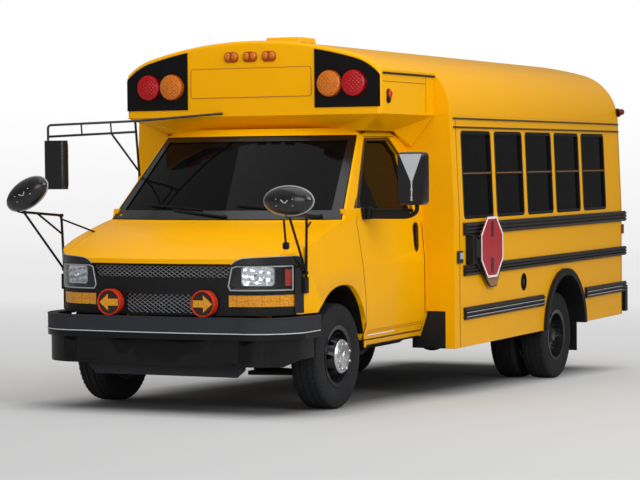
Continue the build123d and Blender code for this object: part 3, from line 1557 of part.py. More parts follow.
sprung = {
    "body_side_left": body_side_left,
    "body_side_right": body_side_right,
    "roof": roof,
    "rear_wall": rear_wall,
    "floor": floor,
    "front_cap": front_cap,
    "cap_soffit": cap_soffit,
    "cab_shell": cab_shell,
    "hood": hood,
    "driver_door": driver_door,
    "driver_door_glass": driver_door_glass,
    "windshield": windshield,
    "window_frames": window_frames,
    "side_glass": side_glass,
    "rub_rails": rub_rails,
    "rear_flares": rear_flares,
    "rear_bumper": rear_bumper,
    "front_bumper": front_bumper,
    "grille": grille,
    "grille_mesh": grille_mesh,
    "fuel_filler": fuel_filler,
    "door_handle": door_handle,
    "headlamps": headlamps,
    "lamp_panels": lamp_panels,
    "red_lamps": red_lamps,
    "amber_lamps": amber_lamps,
    "turn_signals": turn_signals,
    "arrow_lamps": arrow_lamps,
    "driver_mirror": driver_mirror,
    "entrance_mirror": entrance_mirror,
    "crossview_mirrors": crossview_mirrors,
    "stop_housing": stop_housing,
    "stop_sign": stop_sign,
    "entrance_leaf_front": entrance_leaf_front,
    "entrance_leaf_rear": entrance_leaf_rear,
    "entrance_glass_front": entrance_glass_front,
    "entrance_glass_rear": entrance_glass_rear,
    "emergency_door": emergency_door,
    "emergency_door_glass": emergency_door_glass,
    "chassis_frame": chassis_frame,
    "engine_block": engine_block,
    "fuel_tank": fuel_tank,
    "exhaust": exhaust,
    "front_suspension": front_suspension,
    "seats": seats,
    "dashboard": dashboard,
    "steering_wheel": steering_wheel,
    **knuckles,
}
os.makedirs("parts", exist_ok=True)
pieces = {name: builder.part.moved(lean) for name, builder in sprung.items()}
pieces.update({name: shape.moved(stand) for name, shape in wheels.items()})
pieces["rear_axle"] = rear_axle.part.moved(stand)
for name, shape in pieces.items():
    shape.label = name
    export_step(shape, f"parts/{name}.step")
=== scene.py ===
import math
import json

import bpy
import bmesh
import numpy as np
from mathutils import Matrix, Vector

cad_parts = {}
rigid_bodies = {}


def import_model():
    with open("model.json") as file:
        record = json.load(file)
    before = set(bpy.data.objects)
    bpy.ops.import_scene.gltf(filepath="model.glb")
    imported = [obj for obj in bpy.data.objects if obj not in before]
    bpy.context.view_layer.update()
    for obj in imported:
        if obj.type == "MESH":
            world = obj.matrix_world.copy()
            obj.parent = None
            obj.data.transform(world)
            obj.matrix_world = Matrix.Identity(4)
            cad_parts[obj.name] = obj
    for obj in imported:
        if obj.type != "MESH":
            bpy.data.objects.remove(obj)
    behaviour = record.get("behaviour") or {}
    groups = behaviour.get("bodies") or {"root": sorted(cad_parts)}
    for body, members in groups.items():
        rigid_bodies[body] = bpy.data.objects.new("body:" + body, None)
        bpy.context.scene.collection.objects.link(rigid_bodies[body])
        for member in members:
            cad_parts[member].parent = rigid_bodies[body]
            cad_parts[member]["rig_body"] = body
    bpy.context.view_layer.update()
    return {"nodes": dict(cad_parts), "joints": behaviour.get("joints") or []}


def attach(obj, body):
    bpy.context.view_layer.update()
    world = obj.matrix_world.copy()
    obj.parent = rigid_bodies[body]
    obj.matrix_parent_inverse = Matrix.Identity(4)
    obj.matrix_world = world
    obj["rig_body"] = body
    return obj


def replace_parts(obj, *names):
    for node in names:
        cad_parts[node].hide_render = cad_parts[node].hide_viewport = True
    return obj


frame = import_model()
nodes = frame["nodes"]
print("frame loaded:", len(nodes), "nodes")

# the bus's own level frame: metres, x left, y rearwards from the front axle, z up from the ground
steerJoint = next(j for j in frame["joints"] if j["name"] == "steer_left")
axleY, axleZ = steerJoint["pos_m"][1], steerJoint["pos_m"][2]
rakeSin = -steerJoint["axis"][1]
rakeCos = math.sqrt(1 - rakeSin * rakeSin)
rearJoint = next(j for j in frame["joints"] if j["name"] == "wheels_rear_left_spin")
frontWheelX = next(j for j in frame["joints"] if j["name"] == "wheel_front_left_spin")["pos_m"][0]
rearWheelX, rearWheelY = rearJoint["pos_m"][0], rearJoint["pos_m"][1]


def toRow(points):
    # Level bus coordinates to the row frame: turned nose down about the front axle line, then shifted.
    p = np.asarray(points, float)
    y, z = p[..., 1], p[..., 2] - axleZ
    return np.stack([p[..., 0], y * rakeCos - z * rakeSin + axleY, y * rakeSin + z * rakeCos + axleZ], -1)


def fromRow(points):
    # The row frame back to level bus coordinates.
    p = np.asarray(points, float)
    y, z = p[..., 1] - axleY, p[..., 2] - axleZ
    return np.stack([p[..., 0], y * rakeCos + z * rakeSin, -y * rakeSin + z * rakeCos + axleZ], -1)


def asDrawn(points):
    return np.asarray(points, float)


bothSides = ((1, "Left"), (-1, "Right"))


# shader node groups
def newGroup(name, inputs, outputs):
    group = bpy.data.node_groups.new(name, "ShaderNodeTree")
    for label, kind, value in inputs:
        socket = group.interface.new_socket(label, in_out="INPUT", socket_type=kind)
        if value is not None:
            socket.default_value = value
    for label, kind in outputs:
        group.interface.new_socket(label, in_out="OUTPUT", socket_type=kind)
    return group, group.nodes.new("NodeGroupInput"), group.nodes.new("NodeGroupOutput")


def mathNode(tree, operation, a, b=None, clamp=False):
    # A Math node fed by sockets or numbers; gives its output socket.
    node = tree.nodes.new("ShaderNodeMath")
    node.operation, node.use_clamp = operation, clamp
    for i, value in enumerate((a, b)):
        if value is None:
            continue
        if isinstance(value, (int, float)):
            node.inputs[i].default_value = value
        else:
            tree.links.new(value, node.inputs[i])
    return node.outputs[0]


def noiseNode(tree, vector, scale, detail=4.0, rough=0.55):
    node = tree.nodes.new("ShaderNodeTexNoise")
    node.inputs["Detail"].default_value, node.inputs["Roughness"].default_value = detail, rough
    if isinstance(scale, (int, float)):
        node.inputs["Scale"].default_value = scale
    else:
        tree.links.new(scale, node.inputs["Scale"])
    tree.links.new(vector, node.inputs["Vector"])
    return node.outputs["Fac"]


def rangeNode(tree, value, low, high, outLow=0.0, outHigh=1.0):
    node = tree.nodes.new("ShaderNodeMapRange")
    for i, item in enumerate((value, low, high, outLow, outHigh)):
        if isinstance(item, (int, float)):
            node.inputs[i].default_value = item
        else:
            tree.links.new(item, node.inputs[i])
    return node.outputs[0]


def rampNode(tree, value, stops):
    # A colour ramp fed by a socket, its stops given as (position, grey).
    node = tree.nodes.new("ShaderNodeValToRGB")
    elements = node.color_ramp.elements
    for n, (at, grey) in enumerate(stops):
        stop = elements[n] if n < 2 else elements.new(at)
        stop.position, stop.color = at, (grey, grey, grey, 1)
    tree.links.new(value, node.inputs[0])
    return node.outputs[0]


def makeGrimeGroup():
    # Road film: strongest near the ground, broken up by noise, with faint runs down the panels.
    group, gin, gout = newGroup(
        "roadFilm",
        [("Amount", "NodeSocketFloat", 0.5), ("Reach", "NodeSocketFloat", 1.0),
         ("Base", "NodeSocketFloat", 0.1)],
        [("Mask", "NodeSocketFloat")],
    )
    coord = group.nodes.new("ShaderNodeTexCoord")
    split = group.nodes.new("ShaderNodeSeparateXYZ")
    group.links.new(coord.outputs["Object"], split.inputs[0])
    low = rangeNode(group, split.outputs["Z"], 0.25, gin.outputs["Reach"], 1.0, 0.0)
    patches = noiseNode(group, coord.outputs["Object"], 3.1, 6.0, 0.6)
    stretch = group.nodes.new("ShaderNodeMapping")
    stretch.inputs["Scale"].default_value = (9.0, 9.0, 0.7)
    group.links.new(coord.outputs["Object"], stretch.inputs[0])
    runs = noiseNode(group, stretch.outputs[0], 2.0, 5.0, 0.6)
    body = mathNode(group, "MULTIPLY", low, rangeNode(group, patches, 0.3, 0.75))
    film = mathNode(group, "ADD", body, mathNode(group, "MULTIPLY", rangeNode(group, runs, 0.5, 0.8),
                                                 gin.outputs["Base"]))
    group.links.new(mathNode(group, "MULTIPLY", film, gin.outputs["Amount"], True), gout.inputs[0])
    return group


def makePeelGroup():
    # Orange peel of sprayed paint with a slow waviness of the panel under it, as a height.
    group, gin, gout = newGroup(
        "orangePeel",
        [("Fine", "NodeSocketFloat", 1.0), ("Wave", "NodeSocketFloat", 1.0)],
        [("Height", "NodeSocketFloat")],
    )
    coord = group.nodes.new("ShaderNodeTexCoord")
    fine = mathNode(group, "MULTIPLY", noiseNode(group, coord.outputs["Object"], 420.0, 1.0),
                    gin.outputs["Fine"])
    wave = mathNode(group, "MULTIPLY", noiseNode(group, coord.outputs["Object"], 2.4, 2.0),
                    gin.outputs["Wave"])
    group.links.new(mathNode(group, "ADD", fine, wave), gout.inputs[0])
    return group


def makeGrainGroup():
    # Moulded grain: small cells with rounded valleys, as a height, and a soft mottle as a mask.
    group, gin, gout = newGroup(
        "mouldedGrain",
        [("Scale", "NodeSocketFloat", 600.0)],
        [("Height", "NodeSocketFloat"), ("Mottle", "NodeSocketFloat")],
    )
    coord = group.nodes.new("ShaderNodeTexCoord")
    cells = group.nodes.new("ShaderNodeTexVoronoi")
    group.links.new(coord.outputs["Object"], cells.inputs["Vector"])
    group.links.new(gin.outputs["Scale"], cells.inputs["Scale"])
    group.links.new(mathNode(group, "POWER", cells.outputs["Distance"], 0.6), gout.inputs["Height"])
    group.links.new(rangeNode(group, noiseNode(group, coord.outputs["Object"], 7.0, 5.0), 0.3, 0.7),
                    gout.inputs["Mottle"])
    return group


roadFilm, orangePeel, mouldedGrain = makeGrimeGroup(), makePeelGroup(), makeGrainGroup()


# materials
class Finish:
    # A Principled material being built: groups give masks and heights, sockets take plain values.

    def __init__(self, name, color, roughness, metallic=0.0, **plain):
        self.material = bpy.data.materials.new(name)
        self.material.use_nodes = True
        self.tree = self.material.node_tree
        self.shader = self.tree.nodes["Principled BSDF"]
        self.shader.inputs["Base Color"].default_value = (*color, 1)
        self.shader.inputs["Roughness"].default_value = roughness
        self.shader.inputs["Metallic"].default_value = metallic
        self.color, self.roughness = color, roughness
        for label, value in plain.items():
            self.shader.inputs[label.replace("_", " ")].default_value = value
        self.material.diffuse_color = (*color, 1)

    def group(self, group, **values):
        node = self.tree.nodes.new("ShaderNodeGroup")
        node.node_tree = group
        for label, value in values.items():
            node.inputs[label].default_value = value
        return node

    def bump(self, height, distance, strength=1.0):
        node = self.tree.nodes.new("ShaderNodeBump")
        node.inputs["Distance"].default_value, node.inputs["Strength"].default_value = distance, strength
        self.tree.links.new(height, node.inputs["Height"])
        self.tree.links.new(node.outputs[0], self.shader.inputs["Normal"])

    def tint(self, mask, other):
        # Base colour goes from this finish's colour to another where the mask is one.
        mix = self.tree.nodes.new("ShaderNodeMix")
        mix.data_type = "RGBA"
        base = self.shader.inputs["Base Color"]
        if base.is_linked:
            self.tree.links.new(base.links[0].from_socket, mix.inputs["A"])
        else:
            mix.inputs["A"].default_value = (*self.color, 1)
        mix.inputs["B"].default_value = (*other, 1)
        self.tree.links.new(mask, mix.inputs["Factor"])
        self.tree.links.new(mix.outputs["Result"], base)

    def dull(self, mask, roughness):
        # Roughness rises to another value where the mask is one.
        out = rangeNode(self.tree, mask, 0.0, 1.0, self.roughness, roughness)
        self.tree.links.new(out, self.shader.inputs["Roughness"])


def makePaint(name, color, dirt, roughness=0.24, coat=0.7, reach=1.1, amount=0.35, base=0.12, fine=0.35,
              gloss=0.4):
    f = Finish(name, color, roughness, Coat_Weight=coat, Coat_Roughness=0.07, Specular_IOR_Level=gloss)
    film = f.group(roadFilm, Amount=amount, Reach=reach, Base=base)
    f.tint(film.outputs[0], dirt)
    f.dull(film.outputs[0], 0.6)
    f.bump(f.group(orangePeel, Fine=fine, Wave=1.0).outputs[0], 0.0012)
    return f.material


def makePlastic(name, color, roughness, scale=700.0, depth=0.0003, worn=(0.04, 0.04, 0.043), amount=0.2,
                gloss=0.2):
    f = Finish(name, color, roughness, Specular_IOR_Level=gloss)
    grain = f.group(mouldedGrain, Scale=scale)
    film = f.group(roadFilm, Amount=amount, Reach=1.0, Base=0.3)
    f.tint(film.outputs[0], worn)
    f.dull(grain.outputs["Mottle"], min(1.0, roughness + 0.16))
    f.bump(grain.outputs["Height"], depth)
    return f.material


def makeGlass(name, color, roughness=0.015, transmission=0.9, ior=1.15):
    f = Finish(name, color, roughness, Transmission_Weight=transmission, IOR=ior)
    film = f.group(roadFilm, Amount=0.06, Reach=3.2, Base=0.5)
    f.dull(film.outputs[0], 0.35)
    return f.material


def makeLens(name, color):
    # Moulded lamp lens: saturated, clear coated, with a mottle of the prisms behind it.
    f = Finish(name, color, 0.15, Coat_Weight=0.4, Coat_Roughness=0.03, Specular_IOR_Level=0.2)
    grain = f.group(mouldedGrain, Scale=95.0)
    f.tint(grain.outputs["Height"], tuple(c * 0.45 for c in color))
    f.bump(grain.outputs["Height"], 0.0015, 0.6)
    return f.material


def makeRubber(name):
    f = Finish(name, (0.011, 0.012, 0.014), 0.72, Specular_IOR_Level=0.25)
    grain = f.group(mouldedGrain, Scale=260.0)
    film = f.group(roadFilm, Amount=0.5, Reach=0.9, Base=0.3)
    f.tint(film.outputs[0], (0.034, 0.034, 0.034))
    f.dull(grain.outputs["Mottle"], 0.88)
    f.bump(grain.outputs["Height"], 0.0005)
    return f.material


def makeMetal(name, color, roughness, scale=300.0, dirt=(0.2, 0.19, 0.18), amount=0.2):
    f = Finish(name, color, roughness, metallic=1.0)
    grain = f.group(mouldedGrain, Scale=scale)
    f.tint(f.group(roadFilm, Amount=amount, Reach=1.0, Base=0.4).outputs[0], dirt)
    f.dull(grain.outputs["Mottle"], min(1.0, roughness + 0.15))
    f.bump(grain.outputs["Height"], 0.0001)
    return f.material


finishes = {
    "yellow": makePaint("busYellow", (0.86, 0.405, 0.0), (0.5, 0.23, 0.005), 0.3, 0.13, amount=0.2,
                        gloss=0.08),
    # a darker copy of the body's yellow: painted shade, used for the rocker's crease lines
    "yellowShade": makePaint("busYellowInner", (0.55, 0.23, 0.005), (0.3, 0.14, 0.02), 0.4, 0.2),
    "black": makePaint("blackPaint", (0.006, 0.005, 0.005), (0.03, 0.027, 0.025), 0.3, 0.12, gloss=0.12),
    "railBlack": makePaint("railBlack", (0.009, 0.007, 0.007), (0.04, 0.033, 0.028), 0.3, 0.3, 1.8,
                           gloss=0.12),
    "bumperTop": makePlastic("bumperGrain", (0.024, 0.025, 0.031), 0.5, 500.0, 0.0004),
    "bumperGloss": makePaint("bumperGloss", (0.005, 0.005, 0.006), (0.025, 0.024, 0.024), 0.3, 0.15, 0.7,
                             0.2, gloss=0.12),
    "plastic": makePlastic("blackPlastic", (0.007, 0.007, 0.008), 0.38),
    "trim": makePlastic("gasketRubber", (0.004, 0.004, 0.004), 0.6, 900.0, 0.0002, (0.015, 0.015, 0.015)),
    "glass": makeGlass("tintedGlass", (0.022, 0.022, 0.024)),
    "sideGlass": makeGlass("sideGlass", (0.035, 0.037, 0.04)),
    "clear": makeGlass("clearLens", (0.93, 0.95, 0.97), 0.02, 1.0, 1.4),
    "red": makeLens("redLens", (0.60, 0.004, 0.01)),
    "amber": makeLens("amberLens", (0.85, 0.22, 0.012)),
    "signal": makeLens("signalLens", (1.0, 0.42, 0.02)),
    "signRed": makePaint("signRed", (0.42, 0.004, 0.010), (0.3, 0.03, 0.03), 0.35, 0.3),
    "signWhite": makePaint("signWhite", (0.86, 0.86, 0.85), (0.5, 0.48, 0.44), 0.4, 0.2),
    "rubber": makeRubber("tyreRubber"),
    "wheelBlack": makePaint("wheelBlack", (0.006, 0.006, 0.008), (0.03, 0.03, 0.03), 0.25, 0.5, 0.7, 0.3,
                            gloss=0.2),
    "silver": makeMetal("silverPaint", (0.72, 0.73, 0.75), 0.26),
    "chrome": makeMetal("chromePlate", (0.9, 0.9, 0.92), 0.06, amount=0.05),
    "chassis": makePaint("chassisBlack", (0.007, 0.007, 0.007), (0.04, 0.034, 0.026), 0.6, 0.0, 0.9, 0.6,
                         gloss=0.1),
    "cast": makePlastic("castBlock", (0.09, 0.09, 0.092), 0.65, 200.0, 0.001),
    "exhaust": makeMetal("exhaustSteel", (0.35, 0.32, 0.29), 0.45, dirt=(0.16, 0.1, 0.06), amount=0.8),
    "vinyl": makePlastic("seatVinyl", (0.03, 0.034, 0.042), 0.48, 420.0, 0.0005, (0.05, 0.05, 0.055)),
    "floorMat": makePlastic("floorMat", (0.03, 0.03, 0.031), 0.7, 160.0, 0.001),
    "reflector": makeMetal("lampReflector", (0.82, 0.84, 0.87), 0.1, amount=0.02),
    "rimSteel": makeMetal("wornSteel", (0.16, 0.16, 0.165), 0.4, amount=0.6),
    "meshBlack": makePlastic("meshPlastic", (0.012, 0.012, 0.013), 0.3, 900.0, 0.0001),
    # light grey metal for the grille's wires: painted highlight for the glints on the black mesh
    "meshEdge": makeMetal("meshEdge", (0.42, 0.43, 0.45), 0.3, amount=0.1),
    "edgeGrey": makePaint("edgeGrey", (0.3, 0.31, 0.33), (0.2, 0.2, 0.2), 0.3, 0.4),
    # light grey for painted highlight lines on the bumper's lip and the lower rail
    "edgeBright": makePaint("edgeBright", (0.55, 0.56, 0.58), (0.3, 0.3, 0.3), 0.25, 0.6),
    "amberDeep": makeLens("amberDeep", (0.55, 0.1, 0.004)),
    "redOrange": makeLens("redOrange", (0.85, 0.045, 0.008)),
    "lampDark": makeLens("lampDark", (0.05, 0.012, 0.004)),
    # brownish tan: the yellow in shade, for the painted shadow below the stop arm
    "tan": makePaint("tanPaint", (0.3, 0.16, 0.07), (0.2, 0.12, 0.07), 0.5, 0.1),
    "seam": makePlastic("seamSealer", (0.1, 0.045, 0.006), 0.6),
    "mirror": makeMetal("mirrorGlass", (0.88, 0.9, 0.92), 0.02, amount=0.02),
    "gloss": makePaint("glossPlastic", (0.008, 0.008, 0.009), (0.03, 0.03, 0.03), 0.2, 0.3, amount=0.15),
    "frit": makePaint("glassFrit", (0.004, 0.004, 0.005), (0.015, 0.015, 0.016), 0.15, 0.2, amount=0.1),
    "deepRed": makeLens("deepRed", (0.24, 0.002, 0.005)),
    "wedgeGrey": makePaint("wedgeGrey", (0.42, 0.44, 0.47), (0.3, 0.3, 0.3), 0.4, 0.1, amount=0.1),
    "tape": makePaint("tapeBrown", (0.36, 0.13, 0.02), (0.25, 0.1, 0.03), 0.45, 0.1, amount=0.1),
}
print("finishes made:", len(finishes))


# mesh helpers
def finishMesh(obj, finish, body, sharp=35.0):
    # Shades a piece smooth up to an angle, gives it its finish and slot, and lets it ride on its body.
    obj.data.materials.clear()
    obj.data.materials.append(finishes[finish])
    obj.data.shade_smooth()
    obj.data.set_sharp_from_angle(angle=math.radians(sharp))
    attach(obj, body)
    return obj


def makeMesh(name, verts, faces, finish, body="root", place=toRow, sharp=35.0, merge=True):
    # A piece from a vertex array and face lists, its doubles merged and its faces turned outwards.
    mesh = bpy.data.meshes.new(name)
    mesh.from_pydata(place(verts).tolist(), [], [list(map(int, f)) for f in faces])
    bm = bmesh.new()
    bm.from_mesh(mesh)
    if merge:
        bmesh.ops.remove_doubles(bm, verts=bm.verts, dist=1e-5)
        bmesh.ops.recalc_face_normals(bm, faces=bm.faces)
    bm.to_mesh(mesh)
    bm.free()
    obj = bpy.data.objects.new(name, mesh)
    bpy.context.scene.collection.objects.link(obj)
    return finishMesh(obj, finish, body, sharp)


def gridFaces(rows, cols, closeRows=False, closeCols=False, start=0):
    # Quads over a grid of rows by cols points, wrapping round where it is closed.
    r = np.arange(rows if closeRows else rows - 1)
    c = np.arange(cols if closeCols else cols - 1)
    i, j = [a.ravel() for a in np.meshgrid(r, c, indexing="ij")]
    i1, j1 = (i + 1) % rows, (j + 1) % cols
    return start + np.stack([i * cols + j, i * cols + j1, i1 * cols + j1, i1 * cols + j], -1)


def joinParts(parts):
    # Many (verts, faces) pairs as one pair.
    verts, faces, start = [], [], 0
    for v, f in parts:
        verts.append(np.asarray(v, float).reshape(-1, 3))
        faces += [[int(i) + start for i in face] for face in f]
        start += len(verts[-1])
    return np.concatenate(verts), faces


def capped(grid, first=True, last=True):
    # A tube's grid of rings as verts and faces, its ends closed by flat faces.
    rows, cols = grid.shape[:2]
    faces = gridFaces(rows, cols, closeCols=True).tolist()
    if first:
        faces.append(list(range(cols)))
    if last:
        faces.append(list(range((rows - 1) * cols, rows * cols)))
    return grid.reshape(-1, 3), faces


def basis(direction, up=(0, 0, 1)):
    # Two unit vectors square to a direction.
    d = np.asarray(direction, float)
    d = d / np.linalg.norm(d)
    side = np.cross(d, up)
    if np.linalg.norm(side) < 1e-6:
        side = np.cross(d, (1, 0, 0))
    side /= np.linalg.norm(side)
    return side, np.cross(side, d)


def turned(profile, centre, axis, steps=48):
    # A profile of (distance along the axis, radius) pairs turned round the axis: ring k is the profile
    # at angle k.
    axis = np.asarray(axis, float) / np.linalg.norm(axis)
    side, up = basis(axis, (0, 0, 1) if abs(axis[2]) < 0.9 else (0, 1, 0))
    angle = np.linspace(0, 2 * math.pi, steps, endpoint=False)
    ring = np.cos(angle)[:, None] * side + np.sin(angle)[:, None] * up
    p = np.asarray(profile, float)
    grid = np.asarray(centre) + p[:, None, 0, None] * axis + p[:, None, 1, None] * ring[None]
    return capped(grid, p[0, 1] > 1e-6, p[-1, 1] > 1e-6)


def tube(points, radius, steps=12, closed=False):
    # A round bar along a polyline: a circle at each point, square to the mean of the runs beside it.
    p = np.asarray(points, float)
    ahead, behind = np.roll(p, -1, 0) - p, p - np.roll(p, 1, 0)
    if not closed:
        ahead[-1], behind[0] = behind[-1], ahead[0]
    d = ahead / np.linalg.norm(ahead, axis=1)[:, None] + behind / np.linalg.norm(behind, axis=1)[:, None]
    d /= np.linalg.norm(d, axis=1)[:, None]
    side = np.cross(d[0], (0.13, 0.2, 1.0))
    sides = []
    for direction in d:
        side = side - direction * np.dot(side, direction)
        side /= np.linalg.norm(side)
        sides.append(side)
    sides = np.array(sides)
    ups = np.cross(sides, d)
    angle = np.linspace(0, 2 * math.pi, steps, endpoint=False)[None, :, None]
    r = np.broadcast_to(np.asarray(radius, float), (len(p),))[:, None, None]
    grid = p[:, None] + r * (np.cos(angle) * sides[:, None] + np.sin(angle) * ups[:, None])
    if closed:
        return grid.reshape(-1, 3), gridFaces(len(p), steps, True, True)
    return capped(grid)


def rounded(points, radius, steps=5):
    # A polyline with its corners rounded by quadratic curves of about that radius.
    p = [np.asarray(q, float) for q in points]
    out = [p[0]]
    for a, b, c in zip(p, p[1:], p[2:]):
        ra = min(radius, 0.45 * np.linalg.norm(b - a))
        rc = min(radius, 0.45 * np.linalg.norm(c - b))
        start, end = b + (a - b) / np.linalg.norm(a - b) * ra, b + (c - b) / np.linalg.norm(c - b) * rc
        for t in np.linspace(0, 1, steps):
            out.append((1 - t) ** 2 * start + 2 * t * (1 - t) * b + t * t * end)
    out.append(p[-1])
    return np.array(out)


def roundRect(width, height, radius, steps=5):
    # Outline of a rectangle with rounded corners, counter-clockwise, about the origin.
    w, h = width / 2 - radius, height / 2 - radius
    angle = np.linspace(0, math.pi / 2, steps)
    out = []
    for k, (sx, sy) in enumerate(((1, 1), (-1, 1), (-1, -1), (1, -1))):
        a = angle + k * math.pi / 2
        out.append(np.stack([sx * w + radius * np.cos(a), sy * h + radius * np.sin(a)], -1))
    return np.concatenate(out)


def slab(outline, origin, u, v, depth, edge=0.002):
    # A plate: an outline in the plane of u and v, thickened towards u x v, its front edge eased.
    outline = np.asarray(outline, float)
    u, v = np.asarray(u, float), np.asarray(v, float)
    n = np.cross(u, v)
    n /= np.linalg.norm(n)
    middle = outline.mean(0)
    spread = outline - middle
    size = np.linalg.norm(spread, axis=1)[:, None]
    eased = middle + spread * (1 - edge / np.maximum(size, edge * 2))
    rings = []
    for shape, lift in ((outline, 0.0), (outline, depth - edge), (eased, depth)):
        rings.append(np.asarray(origin) + shape[:, :1] * u + shape[:, 1:] * v + n * lift)
    return capped(np.array(rings))


def frameRing(outer, inner, origin, u, v, depth, edge=0.0015):
    # A picture-frame border between two outlines of equal count, thickened towards u x v.
    u, v = np.asarray(u, float), np.asarray(v, float)
    n = np.cross(u, v)
    n /= np.linalg.norm(n)
    outer, inner = np.asarray(outer, float), np.asarray(inner, float)
    easeOut, easeIn = outer + (inner - outer) * edge / 0.02, inner + (outer - inner) * edge / 0.02
    rings = []
    for shape, lift in ((outer, 0), (outer, depth - edge), (easeOut, depth), (easeIn, depth),
                        (inner, depth - edge), (inner, 0)):
        rings.append(np.asarray(origin) + shape[:, :1] * u + shape[:, 1:] * v + n * lift)
    grid = np.array(rings)
    return grid.reshape(-1, 3), gridFaces(len(rings), grid.shape[1], True, True)


def blob(centre, size, square=2.6, rows=18, cols=32):
    # A superellipsoid: the sphere's angles with their sines and cosines raised to a power.
    def power(value):
        return np.sign(value) * np.abs(value) ** (2 / square)
    lat = np.linspace(-math.pi / 2, math.pi / 2, rows)[:, None]
    lon = np.linspace(0, 2 * math.pi, cols, endpoint=False)[None]
    local = np.stack([power(np.cos(lat)) * power(np.cos(lon)), power(np.cos(lat)) * power(np.sin(lon)),
                      power(np.sin(lat)) + 0 * lon], -1) * np.asarray(size) / 2
    grid = local + np.asarray(centre)
    return grid.reshape(-1, 3), gridFaces(rows, cols, closeCols=True)


def studs(places, normal, radius, height, steps=8):
    # Low round heads, all with one direction, at many places.
    parts = []
    for place in places:
        parts.append(turned([(0, radius), (height * 0.6, radius * 0.85), (height, radius * 0.4),
                             (height, 0)], place, normal, steps))
    return joinParts(parts)


def dressed(node, finish, bevel=0.003, sharp=30.0):
    # A CAD node's own shape with its doubles merged, flat areas joined and edges eased, in place of the
    # node.
    source = nodes[node]
    bm = bmesh.new()
    bm.from_mesh(source.data)
    bmesh.ops.remove_doubles(bm, verts=bm.verts, dist=2e-5)
    bmesh.ops.dissolve_limit(bm, angle_limit=math.radians(0.6), verts=bm.verts, edges=bm.edges)
    mesh = bpy.data.meshes.new(node + "Shell")
    bm.to_mesh(mesh)
    bm.free()
    obj = bpy.data.objects.new(node + "Shell", mesh)
    bpy.context.scene.collection.objects.link(obj)
    finishMesh(obj, finish, source["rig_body"], sharp)
    if bevel:
        ease = obj.modifiers.new("ease", "BEVEL")
        ease.width, ease.segments, ease.limit_method = bevel, 2, "ANGLE"
        ease.angle_limit, ease.harden_normals = math.radians(38), True
        ease.use_clamp_overlap = True
    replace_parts(obj, node)
    return obj


def repaint(node, finish):
    # A CAD node that stays as it is takes a finish.
    mesh = nodes[node].data
    mesh.materials.clear()
    mesh.materials.append(finishes[finish])


# body panels and the other CAD shapes that stay
panelFinish = {
    "body_side_left": "yellow", "body_side_right": "yellow", "roof": "yellow", "rear_wall": "yellow",
    "front_cap": "yellow", "cap_soffit": "yellow", "cab_shell": "yellow", "hood": "yellow",
    "driver_door": "yellow", "emergency_door": "yellow", "window_frames": "black", "rub_rails": "railBlack",
    "rear_bumper": "bumperGloss", "front_bumper": "bumperTop", "rear_flares": "plastic",
    "stop_housing": "plastic", "lamp_panels": "black", "entrance_leaf_front": "black",
    "entrance_leaf_rear": "black", "chassis_frame": "chassis",
}
plainFinish = {
    "grille": "plastic", "floor": "floorMat", "engine_block": "cast", "fuel_tank": "chassis",
    "exhaust": "exhaust", "front_suspension": "chassis", "rear_axle": "chassis", "knuckle_left": "chassis",
    "knuckle_right": "chassis", "dashboard": "plastic", "steering_wheel": "plastic",
    "driver_mirror": "plastic", "entrance_mirror": "plastic", "crossview_mirrors": "plastic",
    "stop_sign": "signRed", "seats": "vinyl", "windshield": "glass", "driver_door_glass": "glass",
    "side_glass": "sideGlass", "entrance_glass_front": "sideGlass", "entrance_glass_rear": "sideGlass",
    "emergency_door_glass": "sideGlass", "headlamps": "reflector", "red_lamps": "red",
    "amber_lamps": "amber", "turn_signals": "signal", "arrow_lamps": "redOrange",
    "grille_mesh": "meshBlack", "fuel_filler": "plastic", "door_handle": "plastic",
}
nodesDressed = {node: dressed(node, finish) for node, finish in panelFinish.items()}
for node, finish in plainFinish.items():
    repaint(node, finish)
print("panels dressed")


# curves shared by the pieces
def circleThrough(a, b, c):
    # Centre and radius of the circle through three points of a plan.
    (ax, ay), (bx, by), (cx, cy) = a, b, c
    d = 2 * (ax * (by - cy) + bx * (cy - ay) + cx * (ay - by))
    x = ((ax**2 + ay**2) * (by - cy) + (bx**2 + by**2) * (cy - ay) + (cx**2 + cy**2) * (ay - by)) / d
    y = ((ax**2 + ay**2) * (cx - bx) + (bx**2 + by**2) * (ax - cx) + (cx**2 + cy**2) * (bx - ax)) / d
    return x, y, math.hypot(ax - x, ay - y)


def frontOf(x, a, b, c):
    # The y of the arc's front side at x: the circle's middle less the leg opposite x.
    cx, cy, r = circleThrough(a, b, c)
    return cy - np.sqrt(np.maximum(r * r - (x - cx) ** 2, 0))


def arcPoints(a, b, c, count):
    # Points along the arc from a through b to c.
    cx, cy, r = circleThrough(a, b, c)
    angles = [math.atan2(p[1] - cy, p[0] - cx) for p in (a, b, c)]
    middle = (angles[1] - angles[0] + math.pi) % (2 * math.pi) - math.pi
    end = (angles[2] - angles[1] + math.pi) % (2 * math.pi) - math.pi
    turn = angles[0] + np.linspace(0, middle + end, count)
    return np.stack([cx + r * np.cos(turn), cy + r * np.sin(turn)], -1)


def outwards(path):
    # Unit normals of an (x, y) path: its gradient turned by a quarter.
    step = np.gradient(path, axis=0)
    quarter = np.stack([step[:, 1], -step[:, 0]], -1)
    return quarter / np.linalg.norm(quarter, axis=1)[:, None]


def alongEdges(points, count, closed=True):
    # A polyline with every edge divided into as many parts.
    p = np.asarray(points, float)
    ends = np.roll(p, -1, 0) if closed else p[1:]
    starts = p if closed else p[:-1]
    t = np.linspace(0, 1, count, endpoint=False)[None, :, None]
    out = (starts[:, None] + (ends - starts)[:, None] * t).reshape(-1, p.shape[1])
    return out if closed else np.concatenate([out, p[-1:]])


